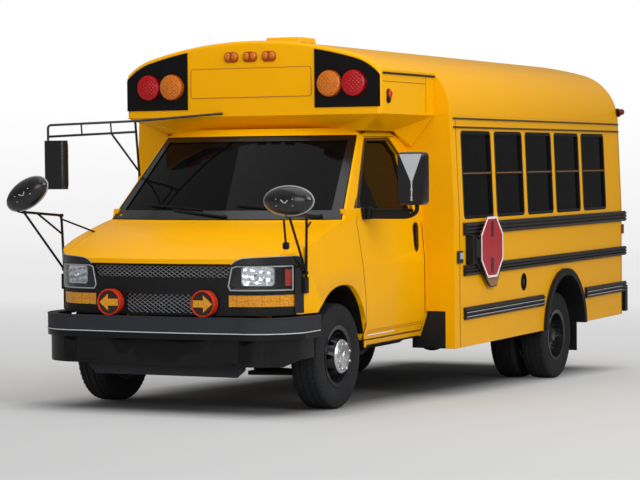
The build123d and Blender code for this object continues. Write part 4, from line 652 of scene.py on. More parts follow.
cabCurves = {
    "noseMiddle": ((-0.6, -0.812), (0, -0.87), (0.6, -0.812)),
    "noseCorner": ((0.6, -0.812), (0.812, -0.722), (0.945, -0.545)),
    # z, half width, y at the corner and y in the middle, at the foot and at the head of the glass
    "belt": (1.303, 0.958, 0.110, -0.145), "head": (1.930, 0.805, 0.730, 0.545),
}


def noseY(x, inset=0.0):
    # The nose's front at x: a wide arc in the middle and a tighter one round each corner.
    x = np.abs(np.asarray(x, float))
    a, b, c = cabCurves["noseMiddle"]
    middle = frontOf(x, (a[0], a[1] + inset), (b[0], b[1] + inset), (c[0], c[1] + inset))
    a, b, c = cabCurves["noseCorner"]
    corner = frontOf(x, (a[0], a[1] + inset), (b[0] - inset / 2, b[1] + inset / 2), (c[0] - inset, c[1]))
    return np.where(x <= a[0], middle, corner)


def onNose(points, inset, side=1):
    # Front-view points (x, z) laid on the nose.
    p = np.asarray(points, float)
    return np.stack([side * p[..., 0], noseY(p[..., 0], inset), p[..., 1]], -1)


def onGlass(points, inset=0.008):
    # Front-view points (x, z) laid on the windshield: an arc in plan whose three points move back with
    # height.
    p = np.asarray(points, float)
    (z0, half0, corner0, middle0), (z1, half1, corner1, middle1) = cabCurves["belt"], cabCurves["head"]
    t = (p[..., 1] - z0) / (z1 - z0)
    half = half0 + (half1 - half0) * t - inset
    corner = corner0 + (corner1 - corner0) * t + inset
    middle = middle0 + (middle1 - middle0) * t + inset
    sag = corner - middle
    radius = (half**2 + sag**2) / (2 * sag)
    return np.stack([p[..., 0], middle + radius - np.sqrt(np.maximum(radius**2 - p[..., 0] ** 2, 0)),
                     p[..., 1]], -1)


def cabSideX(z):
    # The cab's side above the belt, leaning in.
    (z0, half0, _, _), (z1, half1, _, _) = cabCurves["belt"], cabCurves["head"]
    return half0 + (half1 - half0) * (np.asarray(z, float) - z0) / (z1 - z0)


wall = {"half": 1.219, "lean": 0.041, "belt": 1.3}


def wallX(z):
    # The body's side: upright to the belt and leaning in above it.
    return wall["half"] - wall["lean"] * np.maximum(0, np.asarray(z, float) - wall["belt"])


def band(outer, inner, lay, low, high):
    # A flat ring between two outlines of equal count, laid on a surface at two depths.
    grid = np.array([lay(outer, low), lay(outer, high), lay(inner, high), lay(inner, low)])
    return grid.reshape(-1, 3), gridFaces(4, grid.shape[1], True, True)


def skinOf(front, back):
    # A closed skin between two grids of points with the same rows and columns.
    rows, cols = front.shape[:2]
    front, back = front.reshape(-1, 3), back.reshape(-1, 3)
    n = rows * cols
    faces = gridFaces(rows, cols).tolist() + gridFaces(rows, cols, start=n).tolist()
    edge = [i for i in range(cols)] + [i * cols + cols - 1 for i in range(1, rows)]
    edge += [(rows - 1) * cols + j for j in range(cols - 2, -1, -1)]
    edge += [i * cols for i in range(rows - 2, 0, -1)]
    faces += [[a, b, b + n, a + n] for a, b in zip(edge, edge[1:] + edge[:1])]
    return np.concatenate([front, back]), faces


def sheetOn(xs, zs, lay, low, high):
    # A closed skin over a grid of (x, z), laid on a surface at two depths; xs and zs are 2-D grids.
    points = np.stack([xs, zs], -1)
    return skinOf(lay(points, low), lay(points, high))


def bar(low, high):
    # A box between two corners.
    (x0, y0, z0), (x1, y1, z1) = low, high
    verts = [(x, y, z) for x in (x0, x1) for y in (y0, y1) for z in (z0, z1)]
    return np.array(verts), [(0, 1, 3, 2), (4, 6, 7, 5), (0, 4, 5, 1), (2, 3, 7, 6), (0, 2, 6, 4),
                             (1, 5, 7, 3)]


def onSide(points, side):
    # Points given for the left side, or their mirror images when the side is -1.
    return np.asarray(points, float) * (side, 1, 1)


def easedBox(name, low, high, finish, body="root", bevel=0.004):
    obj = makeMesh(name, *bar(low, high), finish, body)
    ease = obj.modifiers.new("ease", "BEVEL")
    ease.width, ease.segments, ease.harden_normals = bevel, 3, True
    return obj


def twoTone(obj, other, heights, test):
    # Cuts a piece at level heights, then gives another finish to the faces whose level centre passes a
    # test.
    bm = bmesh.new()
    bm.from_mesh(obj.data)
    up = Vector(toRow((0, 0, 1)) - toRow((0, 0, 0)))
    for height in heights:
        geom = bm.verts[:] + bm.edges[:] + bm.faces[:]
        bmesh.ops.bisect_plane(bm, geom=geom, plane_co=Vector(toRow((0, 0, height))), plane_no=up)
    bm.to_mesh(obj.data)
    bm.free()
    obj.data.materials.append(finishes[other])
    index = len(obj.data.materials) - 1
    for face in obj.data.polygons:
        if test(*fromRow(np.array(face.center))):
            face.material_index = index


# wheels: treaded tyres, rims, nuts
tyre = {
    "blocks": 54, "perBlock": 5, "notch": 0.0062,
    # half section from the middle of the tread to the bead: distance across, radius, share of the notch
    "section": (
        (0.0, 0.3720, 0), (0.010, 0.3720, 0), (0.0215, 0.3719, 0), (0.0225, 0.3638, 0),
        (0.0300, 0.3638, 0), (0.0310, 0.3716, 0.5), (0.045, 0.3712, 0.3), (0.0600, 0.3705, 0.5),
        (0.0610, 0.3624, 0), (0.0690, 0.3622, 0), (0.0700, 0.3695, 1), (0.0800, 0.3680, 1),
        (0.0900, 0.3650, 1), (0.0980, 0.3590, 0.9), (0.1025, 0.3500, 0.6), (0.1040, 0.3440, 0.2),
        (0.1030, 0.3410, 0), (0.1068, 0.3370, 0), (0.1082, 0.3300, 0), (0.1072, 0.3280, 0),
        (0.1098, 0.3180, 0), (0.1112, 0.3020, 0), (0.1112, 0.2880, 0), (0.1095, 0.2740, 0),
        (0.1078, 0.2690, 0), (0.1096, 0.2660, 0), (0.1082, 0.2610, 0), (0.1045, 0.2520, 0),
        (0.1000, 0.2400, 0), (0.0955, 0.2280, 0), (0.0925, 0.2210, 0), (0.0935, 0.2180, 0),
        (0.0880, 0.2130, 0), (0.0815, 0.2040, 0),
    ),
}


def makeTyre(name, centre, body, place):
    # Radius of a section point at angle k: its own, less the notch where the tread's blocks part. The
    # notch is 1 over the first two of a block's five steps, and the two halves of the tread are half a
    # block apart.
    half = np.array(tyre["section"])
    full = np.concatenate([half[:0:-1] * (-1, 1, 1), half])
    steps = tyre["blocks"] * tyre["perBlock"]
    k = np.arange(steps)[:, None]
    shift = np.where(full[:, 0] > 0, tyre["perBlock"] // 2, 0)[None]
    skew = np.round(np.abs(full[:, 0]) * 18)[None]
    parted = ((k + shift + skew) % tyre["perBlock"] < 2) * full[:, 2][None]
    radius = full[:, 1][None] - tyre["notch"] * parted
    angle = 2 * math.pi * k / steps
    grid = np.stack([full[:, 0][None] + 0 * angle, radius * np.cos(angle), radius * np.sin(angle)], -1)
    grid = grid + np.asarray(centre)
    verts = grid.reshape(-1, 3)
    return makeMesh(name, verts, gridFaces(steps, len(full), closeRows=True), "rubber", body, place, 50.0,
                    False)


wheel = {
    "radius": 0.372, "nuts": 8, "nutRing": 0.092, "nutRadius": 0.0105, "collar": 1.25, "stud": 0.45,
    "hubFace": 0.118, "frontNuts": (0.0125, 0.024), "rearNuts": 0.03, "discThickness": 0.012,
    "rearOff": 0.1375,
    # the axle's cover: distance along the axis, radius; then its bolts' face, height, ring, count, radius
    "cover": ((0.001, 0.0715), (0.006, 0.074), (0.04, 0.073), (0.05, 0.068), (0.16, 0.064), (0.164, 0.058),
              (0.17, 0.05), (0.176, 0.045), (0.18, 0.02), (0.18, 0)),
    "coverBolts": (0.17, 0.012, 0.052, 8, 0.006),
    "valve": ((0.075, 0, 0.158), (0.105, 0, 0.162)), "valveRadius": 0.004,
}


def nutRing(centre, side, face, height, ring=wheel["nutRing"], count=wheel["nuts"],
            radius=wheel["nutRadius"]):
    # Hexagon nuts with a collar and a stud end in each, round a hub.
    collar, stud = radius * wheel["collar"], radius * wheel["stud"]
    nut = [(0, collar), (0.003, collar), (0.0031, radius), (height * 0.7, radius),
           (height * 0.8, radius * 0.8)]
    parts = []
    for n in range(count):
        a = 2 * math.pi * (n + 0.5) / count
        spot = np.asarray(centre) + (side * face, ring * math.sin(a), ring * math.cos(a))
        parts.append(turned(nut, spot, (side, 0, 0), 6))
        parts.append(turned([(0, stud), (height, stud)], spot, (side, 0, 0), 10))
    return joinParts(parts)


for side, tag in bothSides:
    low, off = tag.lower(), wheel["rearOff"]
    front = (side * frontWheelX, axleY, wheel["radius"])
    rear = np.array((side * rearWheelX, rearWheelY, wheel["radius"]))
    frontBody, rearBody = "wheel_front_" + low, "wheels_rear_" + low
    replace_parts(makeTyre("tyreFront" + tag, front, frontBody, asDrawn), "tyre_front_" + low)
    pair = [makeTyre("tyreRear" + tag + name, rear + (side * k, 0, 0), rearBody, asDrawn)
            for name, k in (("Outer", off), ("Inner", -off))]
    for obj in pair:
        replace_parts(obj, "tyres_rear_" + low)
    for node in ("rim_front_" + low, "rims_rear_" + low):
        dressed(node, "wheelBlack", 0.0015)
    dressed("hub_cap_" + low, "silver", 0.0015)
    out, height = wheel["frontNuts"]
    nuts = nutRing(front, side, wheel["hubFace"] + out, height)
    makeMesh("nutsFront" + tag, *nuts, "silver", frontBody, asDrawn)
    outerFace = off - wheel["hubFace"] + wheel["discThickness"]
    nuts = nutRing(rear, side, outerFace, wheel["rearNuts"])
    makeMesh("nutsRear" + tag, *nuts, "rimSteel", rearBody, asDrawn)
    # the axle's flange and cover in the deep dish of the outer rear wheel
    shift = rear + (side * outerFace, 0, 0)
    makeMesh("hubRear" + tag, *turned(wheel["cover"], shift, (side, 0, 0), 40), "wheelBlack", rearBody,
             asDrawn)
    bolts = nutRing(shift, side, *wheel["coverBolts"])
    makeMesh("hubBolts" + tag, *bolts, "rimSteel", rearBody, asDrawn)
    valve = np.array(front) + onSide(wheel["valve"], side)
    makeMesh("valve" + tag, *tube(valve, wheel["valveRadius"], 8), "rubber", frontBody, asDrawn)
print("wheels made")

# nose: grille mesh, bezels, headlamps, turn signals, arrow lamps
nose = {
    "upperMesh": ((-0.545, 1.036), (-0.512, 0.955), (0.512, 0.955), (0.545, 1.036)),
    "lowerMesh": ((-0.262, 0.842), (-0.262, 0.712), (0.262, 0.712), (0.262, 0.842)),
    "meshPitch": (0.042, 0.027), "meshWire": 0.0021, "meshArc": (-0.8405, 0.062, 0.6), "meshLap": 0.001,
    "backing": ((-0.55, -0.776, 0.702), (0.55, -0.771, 1.040)),
    "bezel": ((0.535, 0.872), (0.520, 0.900), (0.545, 1.022), (0.575, 1.034), (0.905, 1.034),
              (0.905, 0.872)),
    "bezelInset": 0.0085, "bezelBead": 0.0052,
    "coverRows": (0.876, 1.030, 9), "coverLeft": ((0.872, 0.9, 1.022, 1.034), (0.54, 0.525, 0.549, 0.577)),
    "coverRight": 0.901, "coverInsets": (0.0115, 0.0145),
    "lamp": (0.708, 0.966, 0.205, 0.128), "lampCorner": 0.022, "ringInsets": (0.033, 0.024),
    "bowlMargin": 0.006, "bowlSkin": 0.0015, "bowl": (0.024, 0.007, 0.005), "facets": (5.5, 4.2),
    "bulb": ((0, 0.016), (0.004, 0.018), (0.012, 0.016), (0.014, 0)), "bulbInset": 0.012, "bulbBack": 0.01,
    "strip": ((0.866, 0.900, 3), (0.900, 1.012, 14)), "stripInsets": (0.020, 0.030),
    "signal": (0.715, 0.800, 0.396, 0.086), "signalRibs": (0.578, 0.655, 0.746, 0.842),
    "signalEdge": (0.011, 0.004), "signalUpright": (0.0132, 0.0016), "signalLevel": (0.0135, 0.0012),
    "arrow": (0.367, 0.783, 0.0927, -0.900),
    # sections of the arrow lamps' red ring and dark bowl: distance along the axis, loss of radius
    "arrowRing": ((-0.02, 0), (0.004, 0), (0.011, 0.004), (0.011, 0.010), (0.003, 0.013)),
    "arrowGround": ((0.003, 0.0125), (0.0045, 0.013)), "arrowDepths": (0.003, 0.0046),
    "arrowShape": ((-0.074, -0.024), (0.006, -0.024), (0.006, -0.058), (0.074, 0.0), (0.006, 0.058),
                   (0.006, 0.024), (-0.074, 0.024)),
}


def clipped(point, direction, outline):
    # The part of a line inside a convex outline, or nothing: each edge trims the range of t.
    p = np.asarray(outline, float)
    middle = p.mean(0)
    low, high = -1e9, 1e9
    for a, b in zip(p, np.roll(p, -1, 0)):
        normal = np.array((a[1] - b[1], b[0] - a[0]))
        normal = normal if np.dot(normal, middle - a) > 0 else -normal
        gain, start = np.dot(normal, direction), np.dot(normal, np.asarray(point) - a)
        if abs(gain) < 1e-12:
            continue
        t = -start / gain
        low, high = (max(low, t), high) if gain > 0 else (low, min(high, t))
    if high - low < 1e-3:
        return None
    return [np.asarray(point) + np.asarray(direction) * t for t in (low, high)]


def meshWires(outline):
    # Raised wires over both diagonals of the lattice, y = middle + rise (x / half)^2; their light grey metal
    # paints the glints on the black mesh.
    px, pz = nose["meshPitch"]
    middle, rise, half = nose["meshArc"]
    p = np.array(outline)
    low, high = p.min(0), p.max(0)
    rows = int((high[1] - low[1]) / (pz / 2)) - 1
    first = low[1] + (high[1] - low[1]) / (rows + 1)
    parts = []
    for lean in (1, -1):
        for n in range(-40, 41):
            run = clipped((n * px + px / 4, first), (px, lean * pz), outline)
            if run is None:
                continue
            line = run[0] + (run[1] - run[0]) * np.linspace(0, 1, 5)[:, None]
            depth = middle - nose["meshLap"] * lean + rise * (line[:, 0] / half) ** 2
            parts.append(tube(np.stack([line[:, 0], depth, line[:, 1]], -1), nose["meshWire"], 6))
    return joinParts(parts)


# wires whose light grey paints the mesh's glints
makeMesh("meshWires", *joinParts([meshWires(nose["upperMesh"]), meshWires(nose["lowerMesh"])]), "meshEdge")
makeMesh("grilleBacking", *bar(*nose["backing"]), "trim")
for side, tag in bothSides:
    def lay(points, inset, side=side):
        return onNose(points, inset, side)
    bead = tube(lay(alongEdges(nose["bezel"], 8), nose["bezelInset"]), nose["bezelBead"], 8, True)
    makeMesh("bezel" + tag, *bead, "edgeGrey")
    zs = np.linspace(*nose["coverRows"])[:, None]
    left = np.interp(zs, *nose["coverLeft"])
    xs = left + (nose["coverRight"] - left) * np.linspace(0, 1, 24)[None]
    makeMesh("lampCover" + tag, *sheetOn(xs, zs + 0 * xs, lay, *nose["coverInsets"]), "clear")
    x, z, width, height = nose["lamp"]
    ringOut, ringIn = (roundRect(width - k, height - k, nose["lampCorner"] - k / 3) + (x, z)
                       for k in (0.0, 0.02))
    makeMesh("lampRing" + tag, *band(ringOut, ringIn, lay, *nose["ringInsets"]), "chrome")
    # the bowl: deepest in the middle, with a lattice of small facets
    u, v = np.meshgrid(np.linspace(-1, 1, 37), np.linspace(-1, 1, 25))
    base, dip, relief = nose["bowl"]
    fu, fv = nose["facets"]
    bowl = base + dip * (1 - u**2) * (1 - v**2) - relief * np.abs(np.sin(fu * u) * np.sin(fv * v + u))
    halfWidth, halfHeight = width / 2 - nose["bowlMargin"], height / 2 - nose["bowlMargin"]
    grid = onNose(np.stack([x + u * halfWidth, z + v * halfHeight], -1), 0.0, side)
    grid[..., 1] += bowl
    makeMesh("lampBowl" + tag, *skinOf(grid, grid + (0, nose["bowlSkin"], 0)), "reflector", sharp=12.0)
    bulb = onNose((x, z), nose["bulbInset"], side) + (0, nose["bulbBack"], 0)
    makeMesh("lampBulb" + tag, *turned(nose["bulb"], bulb, (0, -1, 0), 24), "chrome")
    xs, zs = np.meshgrid(*(np.linspace(*run) for run in nose["strip"]))
    makeMesh("lampStrip" + tag, *sheetOn(xs, zs, lay, *nose["stripInsets"]), "redOrange")
    x, z, width, height = nose["signal"]
    x0, x1, z0, z1 = x - width / 2, x + width / 2, z - height / 2, z + height / 2
    inset, radius = nose["signalEdge"]
    edge = alongEdges([(x0, z0), (x1, z0), (x1, z1), (x0, z1)], 8)
    makeMesh("signalEdge" + tag, *tube(lay(edge, inset), radius, 8, True), "plastic")
    inset, radius = nose["signalUpright"]
    ribs = [tube(lay([(r, z0), (r, z1)], inset), radius, 6) for r in nose["signalRibs"]]
    inset, radius = nose["signalLevel"]
    ribs.append(tube(lay(alongEdges([(x0, z), (x1, z)], 10, False), inset), radius, 6))
    makeMesh("signalRibs" + tag, *joinParts(ribs), "amber")
    # arrow lamps: red ring, dark bowl, amber arrow pointing outwards
    x, z, radius, y = nose["arrow"]
    spot = (side * x, y, z)
    (ringFloor, groundTop), shape = nose["arrowDepths"], np.array(nose["arrowShape"]) * (side, 1)
    ring = [(along, radius - loss) for along, loss in nose["arrowRing"]] + [(ringFloor, 0)]
    makeMesh("arrowRing" + tag, *turned(ring, spot, (0, -1, 0), 56), "redOrange")
    ground = [(along, radius - loss) for along, loss in nose["arrowGround"]] + [(groundTop, 0)]
    makeMesh("arrowGround" + tag, *turned(ground, spot, (0, -1, 0), 48), "lampDark")
    arrow = slab(shape[::side], (spot[0], y - 0.004, z), (1, 0, 0), (0, 0, 1), 0.004, 0.001)
    makeMesh("arrow" + tag, *arrow, "signal")
print("nose made")

# front bumper: grained above, glossy below the lip, with a light bead along the lip as a painted highlight
bumper = {
    "front": -0.95, "half": 1.008, "lip": 0.585, "damTop": 0.360, "corner": -0.64, "end": -0.40,
    "cheek": (0.62, 0.034), "knee": (0.89, -0.83), "lipBead": (-0.001, 0.0035), "rim": (0.004, 0.006),
    "rimTop": 0.688,
}


def bumperPlan(inset, count=28):
    # The bumper's plan from one end to the other: straight ends, tight corners, a wide front arc.
    half, front = bumper["half"] - inset, bumper["front"] + inset
    cheek = (bumper["cheek"][0], front + bumper["cheek"][1])
    knee = (bumper["knee"][0] - inset / 2, bumper["knee"][1] + inset / 2)
    right = arcPoints((-half, bumper["corner"]), (-knee[0], knee[1]), (-cheek[0], cheek[1]), count)
    middle = arcPoints((-cheek[0], cheek[1]), (0, front), cheek, 2 * count)
    left = right[::-1] * (-1, 1)
    return np.concatenate([[(-half, bumper["end"])], right, middle[1:-1], left, [(half, bumper["end"])]])


def bumperBead(name, size, height, finish):
    # A bead at a height along the bumper's plan; size is its inset and radius.
    plan = bumperPlan(size[0])
    makeMesh(name, *tube(np.column_stack([plan, np.full(len(plan), height)]), size[1], 8), finish)


twoTone(nodesDressed["front_bumper"], "bumperGloss", (bumper["lip"], bumper["damTop"]),
        lambda x, y, z: bumper["damTop"] < z < bumper["lip"])
# painted highlight: a light bead along the lip
bumperBead("bumperLip", bumper["lipBead"], bumper["lip"], "edgeBright")
bumperBead("bumperRim", bumper["rim"], bumper["rimTop"], "bumperTop")

# the black plastic that wraps the nose's corners, over the yellow skin
noseTrim = {
    "middle": (0.545, 0.9, 24), "corner": (0.905, 0.945, 8), "end": (0.9475, -0.53),
    "topFoot": 1.0425, "sideFoot": 0.712, "sideColumns": 7, "rows": 5, "lifts": (0.0024, 0.0003),
    "head": ((0.545, 1.047), (0.580, 1.074), (0.620, 1.088), (0.70, 1.095), (0.86, 1.101), (0.925, 1.103),
             (0.940, 1.098), (0.948, 1.080)),
    "bead": 0.003,
}
path = np.concatenate([np.linspace(*noseTrim["middle"]), np.linspace(*noseTrim["corner"])])
path = np.concatenate([np.column_stack([path, noseY(path)]), [noseTrim["end"]]])
normal = outwards(path)
head = np.interp(path[:, 0], *zip(*noseTrim["head"]))


def trimSheet(first, low, high, side):
    # A skin over the plan's columns from the first one on, each straight from its foot to its head.
    t = np.linspace(0, 1, noseTrim["rows"])[:, None]
    zs = low + (high - low) * t + 0 * path[first:, 0]
    skins = []
    for lift in noseTrim["lifts"]:
        p = path[first:] + normal[first:] * lift
        skins.append(np.stack([side * (p[:, 0] + 0 * zs), p[:, 1] + 0 * zs, zs], -1))
    return skinOf(*skins)


for side, tag in bothSides:
    foot, flank = noseTrim["topFoot"], len(path) - noseTrim["sideColumns"]
    parts = [trimSheet(0, foot, head, side), trimSheet(flank, noseTrim["sideFoot"], foot, side)]
    makeMesh("noseTrim" + tag, *joinParts(parts), "gloss")
    line = np.column_stack([path + normal * noseTrim["bead"], head])
    makeMesh("noseTrimEdge" + tag, *tube(onSide(line, side), noseTrim["bead"], 6), "edgeGrey")

# windshield surround, wipers, cab window gaskets; outlines (x, z) from the front or (y, z) from the side
cabGlass = {
    "outer": ((-0.932, 1.331), (0.932, 1.331), (0.786, 1.930), (-0.786, 1.930)),
    "inner": ((-0.845, 1.395), (0.845, 1.395), (0.742, 1.893), (-0.742, 1.893)),
    "frit": (0.0065, -0.0012), "bead": (-0.001, 0.004),
    "doorOuter": ((0.337, 1.322), (0.367, 1.392), (0.428, 1.474), (0.803, 1.914), (1.250, 1.918),
                  (1.384, 1.797), (1.405, 1.322)),
    "doorInner": ((0.468, 1.333), (0.468, 1.400), (0.469, 1.454), (0.820, 1.888), (1.226, 1.891),
                  (1.350, 1.788), (1.375, 1.333)),
    "doorBand": (-0.0005, 0.0022), "doorBead": (0.002, 0.0035),
    "sail": ((0.262, 1.325), (0.331, 1.325), (0.361, 1.396), (0.420, 1.480), (0.385, 1.452),
             (0.325, 1.391)),
    "rightOuter": ((0.478, 1.378), (0.843, 1.872), (0.952, 1.872), (0.952, 1.378)),
    "rightInner": ((0.506, 1.404), (0.864, 1.846), (0.926, 1.846), (0.926, 1.404)),
    "sideBand": (-0.001, 0.0022),
    "gutter": ((0.806, 0.765, 1.948), (0.800, 0.85, 1.966), (0.797, 1.10, 1.976), (0.797, 1.50, 1.984)),
    "gutterBend": 0.05, "gutterRadius": 0.006,
}
wiper = {
    "points": (((0.80, 1.352), (0.42, 1.405), (0.68, 1.400), (0.17, 1.437)),
               ((0.12, 1.352), (-0.35, 1.405), (-0.09, 1.400), (-0.60, 1.437))),
    "insets": (-0.016, -0.010), "arm": (0.008, 0.0045, 9), "blade": 0.0055,
    "cap": ((0, 0.014), (0.014, 0.013), (0.02, 0.006), (0.02, 0)), "capBack": 0.012,
    "capAxis": (0, -0.8, 0.6),
}


def onCabSide(points, lift, side=1):
    # Side-view points (y, z) laid on the cab's side, lifted off it.
    p = np.asarray(points, float)
    return np.stack([side * (cabSideX(p[..., 1]) + lift), p[..., 0], p[..., 1]], -1)


def onCabRight(points, lift):
    return onCabSide(points, lift, -1)


outer, inner = alongEdges(cabGlass["outer"], 24), alongEdges(cabGlass["inner"], 24)
makeMesh("windshieldFrit", *band(outer, inner, onGlass, *cabGlass["frit"]), "frit")
inset, radius = cabGlass["bead"]
makeMesh("windshieldBead", *tube(onGlass(outer, inset), radius, 8, True), "trim")
for n, (pivot, heel, start, end) in enumerate(wiper["points"]):
    arm = onGlass(np.linspace(pivot, heel, wiper["arm"][2]), wiper["insets"][0])
    blade = onGlass(np.linspace(start, end, 17), wiper["insets"][1])
    parts = [tube(arm, np.linspace(*wiper["arm"]), 8), tube(blade, wiper["blade"], 8)]
    parts.append(turned(wiper["cap"], arm[0] + (0, wiper["capBack"], 0), wiper["capAxis"], 16))
    makeMesh("wiper%d" % n, *joinParts(parts), "plastic")
outer, inner = alongEdges(cabGlass["doorOuter"], 8), alongEdges(cabGlass["doorInner"], 8)
makeMesh("doorGlassBand", *band(outer, inner, onCabSide, *cabGlass["doorBand"]), "frit", "driver_door")
lift, radius = cabGlass["doorBead"]
makeMesh("doorGlassBead", *tube(onCabSide(inner, lift), radius, 8, True), "trim", "driver_door")
rings = np.array([onCabSide(cabGlass["sail"], lift) for lift in cabGlass["sideBand"]])
makeMesh("doorSail", *capped(rings), "frit")
outer, inner = alongEdges(cabGlass["rightOuter"], 8), alongEdges(cabGlass["rightInner"], 8)
makeMesh("cabWindowBand", *band(outer, inner, onCabRight, *cabGlass["sideBand"]), "frit")
# rain gutter over the cab's door and along its roof, shorter on the right
for side, tag in bothSides:
    run = rounded(cabGlass["gutter"][:4 if side > 0 else 3], cabGlass["gutterBend"])
    makeMesh("cabGutter" + tag, *tube(onSide(run, side), cabGlass["gutterRadius"], 8), "trim")
print("cab glass made")

# mirrors
mirrorSet = {
    "head": (1.346, 0.495, 1.6135), "headSize": (0.210, 0.377, 0.090), "headCorner": 0.034, "headEdge": 0.014,
    "arm": ((0.957, 0.47, 1.340), (1.30, 0.47, 1.340), (1.368, 0.47, 1.372), (1.368, 0.47, 1.45)),
    "upperArm": ((0.957, 0.47, 1.388), (1.31, 0.47, 1.388), (1.335, 0.47, 1.382)),
    "armWeb": ((0.97, 0.4615, 1.345), (1.31, 0.4785, 1.385)), "armBend": 0.05, "armRadii": (0.0155, 0.012),
    "foot": ((0.940, 0.425, 1.322), (0.985, 0.515, 1.402)),
    "clamp": ((0.984, 0.440, 1.322), (1.014, 0.500, 1.410)), "clampEdge": 0.006,
    "wedge": ((1.434, 1.787), (1.359, 1.589), (1.351, 1.589), (1.262, 1.787)), "wedgeSlab": (0.008, 0.002),
    "stem": (1.355, 0.004, (1.590, 1.458)), "stemRadius": 0.0048, "beadHeights": (1.583, 1.535, 1.478, 1.460),
    "beadSize": (0.022, 0.012, 0.009), "beadOut": 0.005,
    "glassMargin": 0.022, "glassCorner": 0.026, "glassSlab": (0.003, 0.001),
    "entranceGlass": (0.158, 0.34, 0.022), "entranceSpot": (-1.361, 0.0702, 1.7335),
}
cross = {
    "size": (0.182, 0.097, 0.075), "rim": 0.0065, "glassDepth": 0.022, "glassShare": 0.965,
    "bolts": ((-0.0605, 0.012), (0.0605, 0.012), (-0.0605, -0.032), (0.0605, -0.032)),
    "bolt": ((-0.01, 0.0045), (0.006, 0.0042), (0.009, 0.002), (0.009, 0)), "boltDepth": 0.90,
    "bars": ((-0.014, -0.002, -0.9), (0.016, -0.004, 0.9)), "bar": (0.011, 0.0042), "barDepth": 0.99,
    "foot": (0.960, -0.515, 0.900), "shoulder": (0.975, -0.530, 1.372), "lowEnd": (0.963, -0.520, 0.985),
    "bend": 0.03, "rod": 0.0095, "brace": 0.0085, "braceShare": 0.85,
    "pad": ((0.950, -0.801, 1.178), (0.045, 0.03, 0.05)), "clampSize": (0.03, 0.03, 0.024),
    "neckSize": (0.05, 0.03, 0.03),
    "plate": ((-0.012, 0.010), (-0.550, -0.490), (0.845, 0.955)), "plateEdge": 0.004,
}
# each side's cross-view mirror: its middle, tilt in degrees, the rod's last two points and its stays
# (two ends, radius, steps round)
crossSides = (
    (1, "Left", (1.020, -0.892, 1.480), 0.0, (1.000, -0.895, 1.375), (1.000, -0.880, 1.394), (
        ((0.965, -0.860, 1.350), (0.950, -0.800, 1.176), 0.0075, 10),
        ((0.972, -0.52, 1.29), (0.965, -0.45, 1.325), 0.008, 8),
        ((0.963, -0.52, 1.01), (0.930, -0.60, 1.03), 0.006, 8))),
    (-1, "Right", (-1.026, -0.892, 1.532), 28.0, (-1.105, -0.905, 1.408), (-1.105, -0.900, 1.455), (
        ((-1.0465, -0.73625, 1.3918), (-0.968, -0.524, 1.235), 0.0075, 10),
        ((-0.974, -0.528, 1.345), (-0.868, -0.24, 1.243), 0.0065, 10))),
)
mirrorBody = nodes["driver_mirror"]["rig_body"]
hx, hy, hz = mirrorSet["head"]
hw, hh, hd = mirrorSet["headSize"]
upright = ((1, 0, 0), (0, 0, 1))
pieces = []


def mirrorPiece(name, part, finish, merge=True):
    pieces.append(makeMesh(name, *part, finish, mirrorBody, merge=merge))


outline = roundRect(hw, hh, mirrorSet["headCorner"], 7)
mirrorPiece("driverMirrorHead", slab(outline, (hx, hy, hz), *upright, hd, mirrorSet["headEdge"]), "gloss")
armRadius, upperRadius = mirrorSet["armRadii"]
parts = [tube(rounded(mirrorSet["arm"], mirrorSet["armBend"], 7), armRadius, 14),
         tube(mirrorSet["upperArm"], upperRadius, 12), bar(*mirrorSet["armWeb"])]
mirrorPiece("driverMirrorArm", joinParts(parts), "plastic", False)
mirrorPiece("driverMirrorFoot", bar(*mirrorSet["foot"]), "plastic")
pieces.append(easedBox("driverMirrorClamp", *mirrorSet["clamp"], "plastic", mirrorBody,
                       mirrorSet["clampEdge"]))
wedge = [(x - hx, z - hz) for x, z in mirrorSet["wedge"]]
mirrorPiece("driverMirrorWedge", slab(wedge, (hx, hy - hd, hz), *upright, *mirrorSet["wedgeSlab"]),
            "wedgeGrey")
stemX, stemOut, stemEnds = mirrorSet["stem"]
stem = [tube([(stemX, hy - hd - stemOut, z) for z in stemEnds], mirrorSet["stemRadius"], 10)]
for z in mirrorSet["beadHeights"]:
    stem.append(blob((stemX, hy - hd - mirrorSet["beadOut"], z), mirrorSet["beadSize"], 2.4, 9, 14))
mirrorPiece("driverMirrorStem", joinParts(stem), "wedgeGrey", False)
margin = mirrorSet["glassMargin"]
outline = roundRect(hw - margin, hh - margin, mirrorSet["glassCorner"], 7)
mirrorPiece("driverMirrorGlass", slab(outline, (hx, hy, hz), (-1, 0, 0), (0, 0, 1), *mirrorSet["glassSlab"]),
            "mirror")
for obj in pieces:
    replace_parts(obj, "driver_mirror")

dressed("entrance_mirror", "gloss", 0.004)
glass = slab(roundRect(*mirrorSet["entranceGlass"], 7), mirrorSet["entranceSpot"], (-1, 0, 0), (0, 0, 1),
             *mirrorSet["glassSlab"])
makeMesh("entranceMirrorGlass", *glass, "mirror", nodes["entrance_mirror"]["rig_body"])


